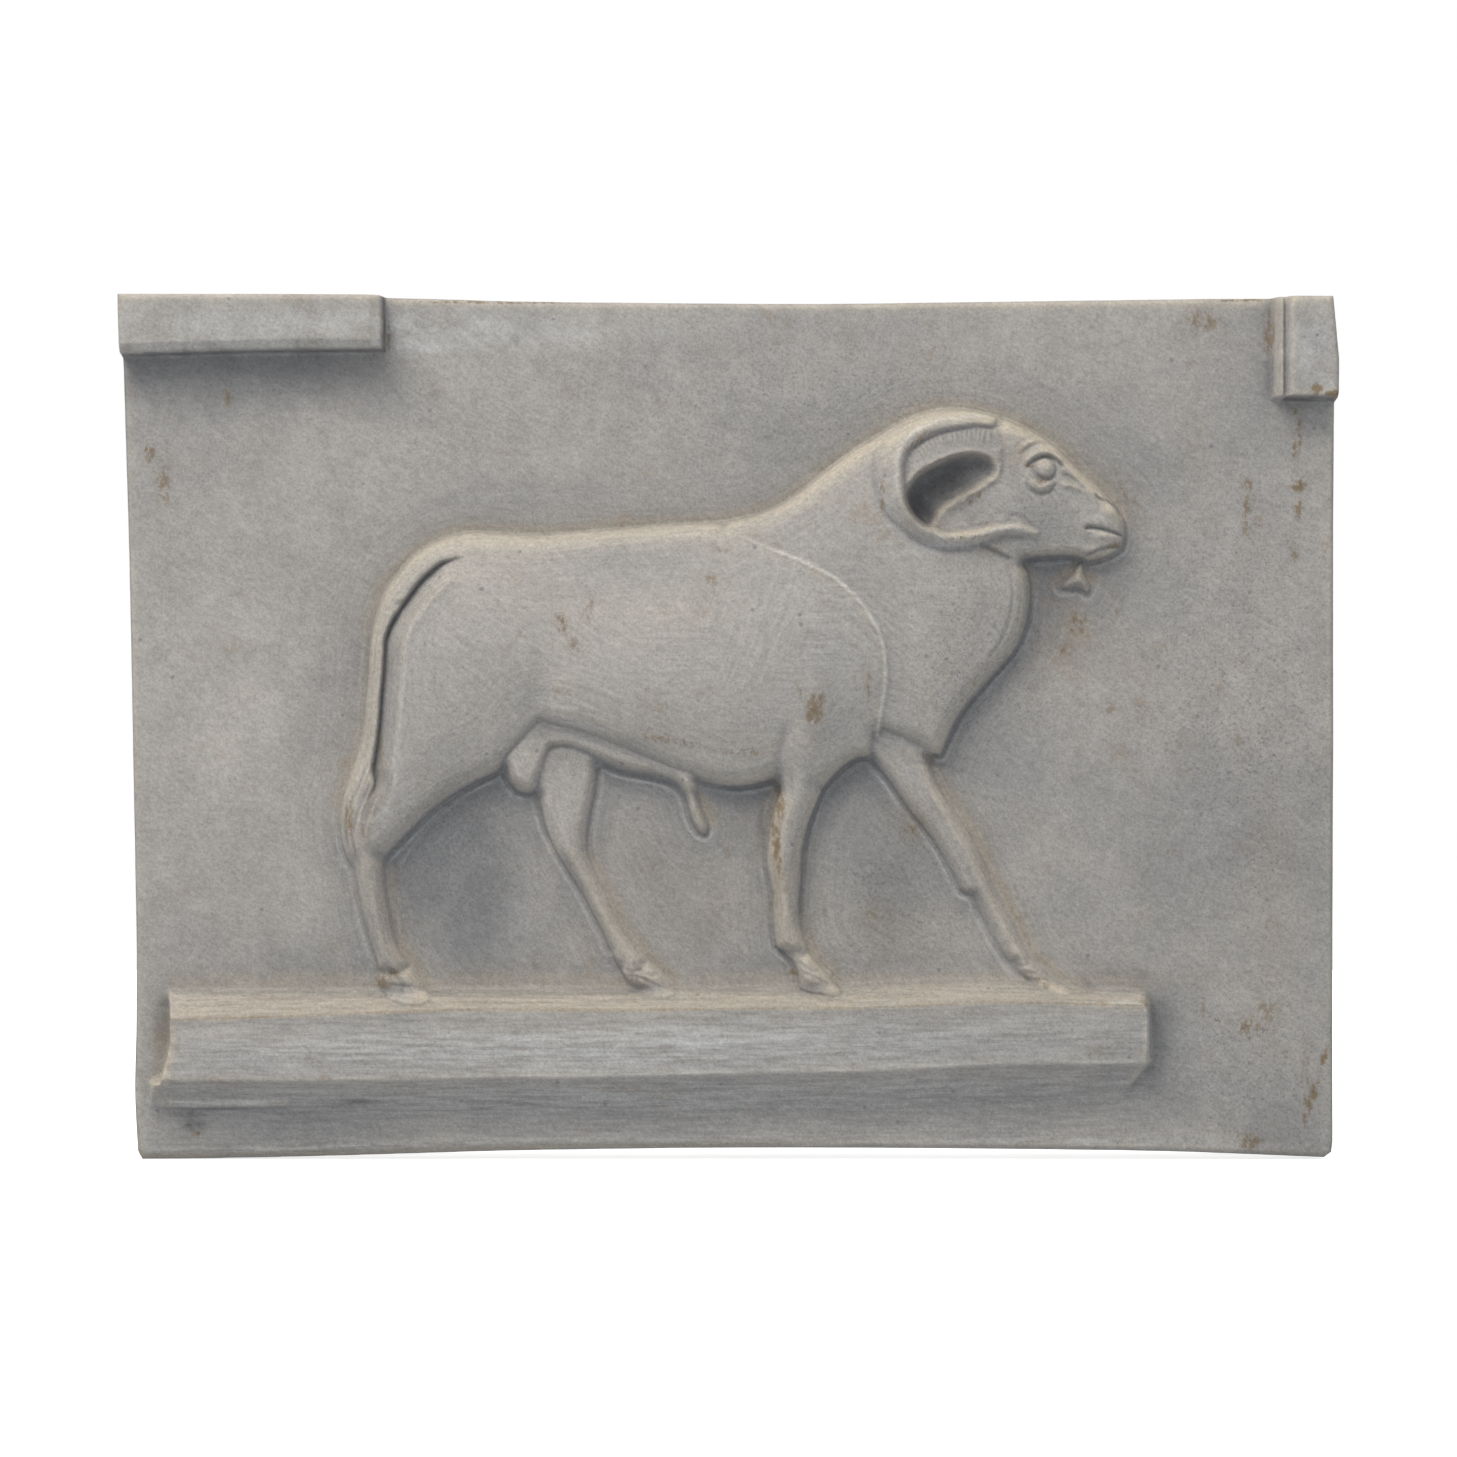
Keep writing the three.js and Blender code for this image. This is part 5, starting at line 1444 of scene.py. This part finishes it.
class Nodes:
    """A short way to write a shader: every call adds a node and returns its output."""

    def __init__(self, name):
        self.material = bpy.data.materials.new(name)
        self.material.use_nodes = True
        self.tree = self.material.node_tree
        self.shader = self.tree.nodes["Principled BSDF"]
        place = self.tree.nodes.new("ShaderNodeTexCoord").outputs["Object"]
        self.mm = self.add("ShaderNodeVectorMath", {0: place, "Scale": 1000.0}, 0, operation="SCALE")

    def add(self, kind, inputs, output=0, **settings):
        """A node with its settings and inputs, each of them a value or another node's output."""
        node = self.tree.nodes.new(kind)
        for key, value in settings.items():
            setattr(node, key, value)
        for key, value in inputs.items():
            self.put(node.inputs[key], value)
        return node.outputs[output]

    def put(self, socket, value):
        """Links a socket to an output, or sets its value."""
        if isinstance(value, bpy.types.NodeSocket):
            self.tree.links.new(value, socket)
        else:
            socket.default_value = value

    def masks(self, layer):
        """The four channels of a colour attribute."""
        attribute = self.tree.nodes.new("ShaderNodeVertexColor")
        attribute.layer_name = layer
        split = self.add("ShaderNodeSeparateColor", {"Color": attribute.outputs["Color"]})
        return [*split.node.outputs, attribute.outputs["Alpha"]]

    def noise(self, scale, detail=3.0, stretch=None, rough=0.5, turn=0.0, seed=0.0):
        """Noise from about 0.2 to 0.8 with scale features to the millimetre, perhaps stretched and turned."""
        where = self.mm
        if stretch or turn or seed:
            where = self.add("ShaderNodeMapping", {
                "Vector": self.mm, "Scale": stretch or (1, 1, 1), "Rotation": (0, turn, 0),
                "Location": (seed,) * 3,
            }, vector_type="TEXTURE")
        return self.add(
            "ShaderNodeTexNoise", {"Vector": where, "Scale": scale, "Detail": detail, "Roughness": rough}
        )

    def band(self, value, low, high, out_low=0.0, out_high=1.0):
        """A value's run from low to high, as a run between two other values."""
        return self.add("ShaderNodeMapRange", {
            "Value": value, "From Min": low, "From Max": high, "To Min": out_low, "To Max": out_high,
        })

    def math(self, operation, a, b=0.0):
        """One arithmetic step with two values."""
        return self.add("ShaderNodeMath", {0: a, 1: b}, operation=operation)

    def blend(self, factor, a, b):
        """From one value to another."""
        return self.add("ShaderNodeMix", {0: factor, 2: a, 3: b})

    def mix(self, factor, a, b, blend="MIX"):
        """From one colour to another."""
        return self.add("ShaderNodeMix", {0: factor, 6: a, 7: b}, 2, data_type="RGBA", blend_type=blend)

    def bump(self, height, distance, strength):
        """Normals that follow a height, with a distance in millimetres."""
        return self.add("ShaderNodeBump", {"Height": height, "Distance": distance * MM, "Strength": strength})

    def finish(self, colour, roughness, normal=None):
        """Links the shader's main inputs and returns the material."""
        self.put(self.shader.inputs["Base Color"], colour)
        self.put(self.shader.inputs["Roughness"], roughness)
        if normal is not None:
            self.put(self.shader.inputs["Normal"], normal)
        return self.material


STONE = (0.385, 0.365, 0.345, 1)
STONE_DARK = (0.327, 0.316, 0.305, 1)
STONE_WARM = (0.43, 0.403, 0.371, 1)
GRIME_AND_SHADE = (0.165, 0.17, 0.18, 1)
CREAM = (0.50, 0.44, 0.35, 1)
TAN = (0.33, 0.27, 0.19, 1)
PAINTED_HIGHLIGHT_GREY = (0.45, 0.45, 0.45, 1)
PALE = (0.60, 0.59, 0.56, 1)
OCHRE_STAIN = (0.24, 0.155, 0.07, 1)
OLIVE_STAIN = (0.15, 0.12, 0.075, 1)
SOOT_AND_SHADE_BLACK = (0.07, 0.07, 0.075, 1)


def brush_strokes(n, flow, ledge):
    """Streaks of the wash: level on the ledge, along the outlines near the forms, three ways elsewhere."""
    level = n.noise(1.0, 4.0, stretch=(13.0, 1.0, 1.0), rough=0.62, seed=7.0)
    slant = n.noise(0.9, 4.0, stretch=(10.0, 1.0, 1.0), rough=0.62, turn=0.7, seed=2.0)
    steep = n.noise(0.8, 4.0, stretch=(10.0, 1.0, 1.0), rough=0.62, turn=-1.2, seed=4.0)
    where = n.noise(0.022, 2.0, seed=9.0)
    strokes = n.blend(n.band(where, 0.5, 0.56), level, slant)
    strokes = n.blend(n.band(where, 0.46, 0.42), strokes, steep)
    strokes = n.blend(ledge, strokes, level)

    around = n.band(flow, 0.0, 1.0, -30.0, 30.0)
    xyz = n.add("ShaderNodeSeparateXYZ", {0: n.mm}).node.outputs
    lie = n.add("ShaderNodeCombineXYZ", {
        0: n.math("MULTIPLY", around, 1.25), 1: n.math("MULTIPLY", xyz[0], 0.09),
        2: n.math("MULTIPLY", xyz[2], 0.09),
    })
    arcs = n.add("ShaderNodeTexNoise", {"Vector": lie, "Scale": 1.0, "Detail": 5.0, "Roughness": 0.68})
    close_by = n.math("MULTIPLY", n.band(around, -27.0, -16.0), n.band(around, 26.0, 14.0))
    return n.blend(n.math("MULTIPLY", close_by, n.band(ledge, 0.0, 1.0, 0.75, 0.0)), strokes, arcs)


def ochre_stain(n, colour, ochre, grain):
    """Rusty stains over a colour: broken up into patches where the mask says, and very faint elsewhere."""
    patch = n.band(n.noise(0.7, 5.0, stretch=(1.0, 1.0, 1.6), rough=0.75, seed=11.0), 0.4, 0.58, 0.2, 1.7)
    stain = n.math("MULTIPLY", ochre, patch)
    stain = n.math("ADD", n.math("MULTIPLY", stain, 0.3), n.band(stain, 0.3, 0.7, 0.0, 0.5))
    colour = n.mix(stain, colour, n.mix(n.band(grain, 0.35, 0.65), OCHRE_STAIN, OLIVE_STAIN))
    thin = n.band(n.noise(0.08, 6.0, rough=0.75, seed=19.0), 0.58, 0.7, 0, 0.3)
    return n.mix(thin, colour, OCHRE_STAIN)


def plaster_face():
    """Aged casting plaster: a grey wash with painted shade in the hollows, waxy cream with painted highlight
    on the tops, ochre stains, fine grain.
    """
    n = Nodes("face_plaster")
    grime_and_shade, cream, ochre, soot_and_shade = n.masks("patina_and_light")
    wash_and_shading, tan, painted_highlight, warmth = n.masks("wash_and_shading")
    flow, ledge, stipple, pale = n.masks("flow")
    cloud = n.noise(0.035, 5.0, rough=0.6)
    blotch = n.noise(0.16, 6.0, rough=0.7, seed=3.0)
    grain = n.noise(1.7, 3.0, rough=0.7)
    specks = n.noise(1.1, 4.0, rough=0.8, seed=31.0)
    fibre = n.noise(0.9, 3.0, stretch=(2.0, 1.0, 1.0), rough=0.75, turn=0.5)
    strokes = brush_strokes(n, flow, ledge)

    warm = n.math("ADD", n.math("MULTIPLY", n.band(cloud, 0.35, 0.65), 0.5), n.math("MULTIPLY", warmth, 0.75))
    colour = n.mix(warm, STONE_DARK, STONE_WARM)
    colour = n.mix(n.band(blotch, 0.42, 0.62, 0, 0.4), colour, STONE)
    # Grey wash with painted shade in whatever lies low.
    colour = n.mix(n.math("MULTIPLY", wash_and_shading, 0.8), colour, GRIME_AND_SHADE)
    # Painted highlight on lit bevels, faces, beads and arrises, broken by the strokes.
    colour = n.mix(n.math("MULTIPLY", painted_highlight, n.band(strokes, 0.35, 0.6)), colour, PAINTED_HIGHLIGHT_GREY)
    colour = n.mix(n.math("MULTIPLY", tan, n.band(blotch, 0.3, 0.6, 0.35, 0.8)), colour, TAN)
    # Waxy cream and painted highlight on the up-facing tops.
    colour = n.mix(n.math("MULTIPLY", cream, n.band(strokes, 0.3, 0.6, 0.55, 1.0)), colour, CREAM)
    # Grime with painted shade in the hollows, the engraved lines and at the forms' feet.
    dirt_and_shade = n.math("MULTIPLY", grime_and_shade, n.band(blotch, 0.3, 0.7, 0.6, 1.15))
    colour = n.mix(n.math("MINIMUM", dirt_and_shade, 0.9), colour, GRIME_AND_SHADE)
    # Pale wear and painted highlight on crests, beads and the ledge's lip.
    colour = n.mix(n.math("MULTIPLY", pale, n.band(strokes, 0.3, 0.6, 0.4, 0.85)), colour, PALE)
    colour = ochre_stain(n, colour, ochre, grain)
    # Soot smears and painted shadow in deep hollows, under undercuts and in the tail's groove.
    colour = n.mix(n.math("MULTIPLY", soot_and_shade, n.band(blotch, 0.3, 0.7, 0.7, 1.1)), colour, SOOT_AND_SHADE_BLACK)

    shade = n.math("MULTIPLY", n.band(strokes, 0.3, 0.7, 0.86, 1.13), n.band(grain, 0.3, 0.7, 0.84, 1.16))
    shade = n.math("MULTIPLY", shade, n.band(fibre, 0.35, 0.65, 0.9, 1.09))
    speck = n.math("MULTIPLY", n.band(specks, 0.53, 0.68), n.band(stipple, 0.0, 1.0, 0.16, 0.5))
    shade = n.math("MULTIPLY", shade, n.math("SUBTRACT", 1.0, speck))
    colour = n.mix(1.0, colour, shade, "MULTIPLY")

    pits = n.add("ShaderNodeTexVoronoi", {"Vector": n.mm, "Scale": 0.14, "Randomness": 1.0})
    rare = n.band(n.noise(0.11, 2.0, seed=23.0), 0.52, 0.56)
    pit = n.math("MULTIPLY", n.band(pits, 0.05, 0.1, 1.0, 0.0), rare)
    colour = n.mix(n.math("MULTIPLY", pit, 0.6), colour, GRIME_AND_SHADE)

    height = n.math("ADD", n.math("MULTIPLY", strokes, 0.5), n.math("MULTIPLY", grain, 0.35))
    height = n.math("SUBTRACT", n.math("ADD", height, n.math("MULTIPLY", fibre, 0.25)), pit)
    rough = n.band(n.math("ADD", grain, cream), 0.2, 1.5, 0.9, 0.7)
    return n.finish(colour, rough, n.bump(height, 0.22, 0.5))


BACK_DARK = (0.40, 0.385, 0.355, 1)
BACK_PALE = (0.53, 0.51, 0.47, 1)
DUST = (0.36, 0.31, 0.235, 1)
AIR_HOLE = (0.17, 0.165, 0.155, 1)


def plaster_back():
    """Coarser casting plaster, never painted or handled: paler, with trowel drag and air holes."""
    n = Nodes("backing_plaster")
    cloud = n.noise(0.03, 5.0, rough=0.6)
    drag = n.noise(0.35, 5.0, stretch=(9.0, 1.0, 1.0), rough=0.7, turn=0.35)
    grain = n.noise(1.3, 4.0, rough=0.7)
    colour = n.mix(n.band(cloud, 0.35, 0.65), BACK_DARK, BACK_PALE)
    dust = n.band(n.noise(0.07, 6.0, rough=0.75, seed=5.0), 0.52, 0.68, 0, 0.5)
    colour = n.mix(dust, colour, DUST)
    shade = n.math("MULTIPLY", n.band(drag, 0.3, 0.7, 0.9, 1.08), n.band(grain, 0.3, 0.7, 0.93, 1.06))
    colour = n.mix(1.0, colour, shade, "MULTIPLY")
    holes = n.add("ShaderNodeTexVoronoi", {"Vector": n.mm, "Scale": 0.2, "Randomness": 1.0})
    hole = n.math("MULTIPLY", n.band(holes, 0.07, 0.14, 1.0, 0.0), n.band(grain, 0.35, 0.5))
    colour = n.mix(n.math("MULTIPLY", hole, 0.7), colour, AIR_HOLE)
    height = n.math("ADD", n.math("MULTIPLY", drag, 0.8), n.math("MULTIPLY", grain, 0.5))
    height = n.math("SUBTRACT", height, hole)
    return n.finish(colour, n.band(grain, 0.3, 0.7, 0.95, 0.8), n.bump(height, 0.35, 0.6))


JUTE_GAP = (0.12, 0.085, 0.05, 1)
JUTE_THREAD = (0.40, 0.28, 0.15, 1)
JUTE_FUZZ = (0.50, 0.38, 0.22, 1)
JUTE_PLASTER = (0.56, 0.54, 0.50, 1)


def jute():
    """Open-weave scrim stiff with plaster: warp and weft threads, whitened where the plaster keyed in."""
    n = Nodes("jute")
    waves = []
    for direction in ("X", "Z"):
        waves.append(n.add(
            "ShaderNodeTexWave",
            {"Vector": n.mm, "Scale": 0.16, "Distortion": 1.2, "Detail": 2.0, "Detail Scale": 1.5},
            1, wave_type="BANDS", bands_direction=direction,
        ))
    thread = n.math("MAXIMUM", *waves)
    fuzz = n.noise(2.5, 4.0, rough=0.7)
    colour = n.mix(n.band(thread, 0.3, 0.9), JUTE_GAP, JUTE_THREAD)
    colour = n.mix(n.band(fuzz, 0.3, 0.7, 0, 0.4), colour, JUTE_FUZZ)
    colour = n.mix(n.band(n.noise(0.12, 5.0), 0.5, 0.65, 0, 0.8), colour, JUTE_PLASTER)
    height = n.math("ADD", thread, n.math("MULTIPLY", fuzz, 0.3))
    return n.finish(colour, 0.92, n.bump(height, 0.5, 0.8))


ZINC_DARK = (0.30, 0.31, 0.325, 1)
ZINC_PALE = (0.47, 0.48, 0.49, 1)
WHITE_RUST = (0.60, 0.60, 0.58, 1)


def galvanised():
    """Zinc-coated wire: dull spangle, drawn lines and a little white rust."""
    n = Nodes("galvanised_wire")
    cells = n.add("ShaderNodeTexVoronoi", {"Vector": n.mm, "Scale": 0.6, "Randomness": 1.0}, 1)
    tone = n.add("ShaderNodeSeparateColor", {"Color": cells})
    colour = n.mix(n.band(tone, 0.0, 1.0), ZINC_DARK, ZINC_PALE)
    rust = n.band(n.noise(0.5, 5.0, rough=0.7), 0.52, 0.66)
    colour = n.mix(rust, colour, WHITE_RUST)
    n.put(n.shader.inputs["Metallic"], n.band(rust, 0.0, 1.0, 0.9, 0.1))
    rough = n.band(rust, 0.0, 1.0, 0.38, 0.85)
    return n.finish(colour, rough, n.bump(n.noise(2.0, 3.0, stretch=(5.0, 1, 1)), 0.08, 0.5))


# ------------------------------------------------------------------ stage, light and camera

VIEW_MIDDLE = (-1.6, 107.1)  # the middle of the picture, in the drawing
VIEW_WIDTH = 364.25  # width of the picture at the plane of the sunk ground
CAMERA_AWAY = 1.1  # metres
AMBIENT_LOW, AMBIENT_HIGH = 0.58, 0.70  # the world's strength from below and from above
AMBIENT_COLOUR = (0.94, 0.97, 1.0, 1)


def picture_middle():
    """The middle of the picture, in the frame."""
    x = PANEL_LOW.x + (VIEW_MIDDLE[0] - DRAWING_LEFT) * MM
    z = PANEL_LOW.z + (VIEW_MIDDLE[1] - DRAWING_FOOT) * MM
    return Vector((x, GROUND_Y, z))


def add_camera():
    """A camera that looks straight at the panel."""
    data = bpy.data.cameras.new("camera")
    data.sensor_width = 36
    data.lens = 36 * CAMERA_AWAY / (VIEW_WIDTH * MM)
    camera = bpy.data.objects.new("camera", data)
    camera.location = picture_middle() - Vector((0, CAMERA_AWAY, 0))
    camera.rotation_euler = (math.pi / 2, 0, 0)
    bpy.context.scene.collection.objects.link(camera)
    bpy.context.scene.camera = camera


def add_light(name, direction, distance, size, power, colour):
    """A round area light that shines on the panel's middle from a direction."""
    data = bpy.data.lights.new(name, "AREA")
    data.shape = "DISK"
    data.size = size
    data.energy = power
    data.color = colour
    light = bpy.data.objects.new(name, data)
    direction = Vector(direction).normalized()
    light.location = picture_middle() + direction * distance
    light.rotation_euler = direction.to_track_quat("Z", "Y").to_euler()
    bpy.context.scene.collection.objects.link(light)


def add_floor():
    """A round pale floor, which the camera sees but which throws no light up at the panel."""
    sides = 96
    turn = np.arange(sides) * 2 * math.pi / sides
    circle = np.stack([np.cos(turn), np.sin(turn), 0 * turn], axis=1)
    points = np.vstack([[[0, 0, 0]]] + [radius * circle for radius in (0.27, 0.54, 0.9)])
    faces = [(0, 1 + k, 1 + (k + 1) % sides) for k in range(sides)]
    for a in (1, 1 + sides):
        b = a + sides
        faces += [(a + k, b + k, b + (k + 1) % sides, a + (k + 1) % sides) for k in range(sides)]
    mesh = bpy.data.meshes.new("floor")
    mesh.from_pydata(points.tolist(), [], faces)
    floor = bpy.data.objects.new("floor", mesh)
    floor.location.z = min(PANEL_LOW.z, BACK_LOW.z) - 0.05 * MM
    n = Nodes("floor")
    tone = n.band(n.noise(0.004, 3.0), 0.3, 0.7, 0.86, 0.9)
    n.put(n.shader.inputs["Emission Color"], (1, 1, 1, 1))
    n.put(n.shader.inputs["Emission Strength"], 0.7)
    mesh.materials.append(n.finish(tone, 0.9))
    floor.visible_diffuse = False
    bpy.context.scene.collection.objects.link(floor)


def add_world():
    """White behind everything, and a soft cool light that is weaker from below."""
    world = bpy.data.worlds.new("world")
    bpy.context.scene.world = world
    world.use_nodes = True
    tree = world.node_tree
    background = tree.nodes["Background"]
    place = tree.nodes.new("ShaderNodeTexCoord")
    split = tree.nodes.new("ShaderNodeSeparateXYZ")
    tree.links.new(place.outputs["Generated"], split.inputs[0])
    level = tree.nodes.new("ShaderNodeMapRange")
    level.inputs["From Min"].default_value = -0.6
    level.inputs["From Max"].default_value = 0.8
    level.inputs["To Min"].default_value = AMBIENT_LOW
    level.inputs["To Max"].default_value = AMBIENT_HIGH
    tree.links.new(split.outputs[2], level.inputs["Value"])
    background.inputs["Color"].default_value = AMBIENT_COLOUR
    tree.links.new(level.outputs[0], background.inputs["Strength"])
    white = tree.nodes.new("ShaderNodeBackground")
    white.inputs["Color"].default_value = (1, 1, 1, 1)
    path = tree.nodes.new("ShaderNodeLightPath")
    blend = tree.nodes.new("ShaderNodeMixShader")
    tree.links.new(path.outputs["Is Camera Ray"], blend.inputs[0])
    tree.links.new(background.outputs[0], blend.inputs[1])
    tree.links.new(white.outputs[0], blend.inputs[2])
    tree.links.new(blend.outputs[0], tree.nodes["World Output"].inputs["Surface"])


# ------------------------------------------------------------------ the whole scene

relief, regions = sculpt()
face_material = plaster_face()
back_material = plaster_back()
build_face(relief, face_material, painter(patina_and_light(relief, regions)))
build_back(back_material)
build_wire(galvanised())
build_dab("hanger_dab_left", 41, back_material)
build_dab("hanger_dab_right", 42, back_material)

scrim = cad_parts["jute_scrim"]
scrim.data.materials.clear()
scrim.data.materials.append(jute())

add_floor()
add_world()
add_light("key", (-0.32, -0.5, 0.80), 1.2, 0.75, 10.5, (1.0, 0.955, 0.89))
add_light("back_fill", (0.5, 0.8, 0.5), 1.5, 1.0, 4.0, (1.0, 0.98, 0.95))
add_camera()
bpy.context.scene.view_settings.view_transform = "Standard"
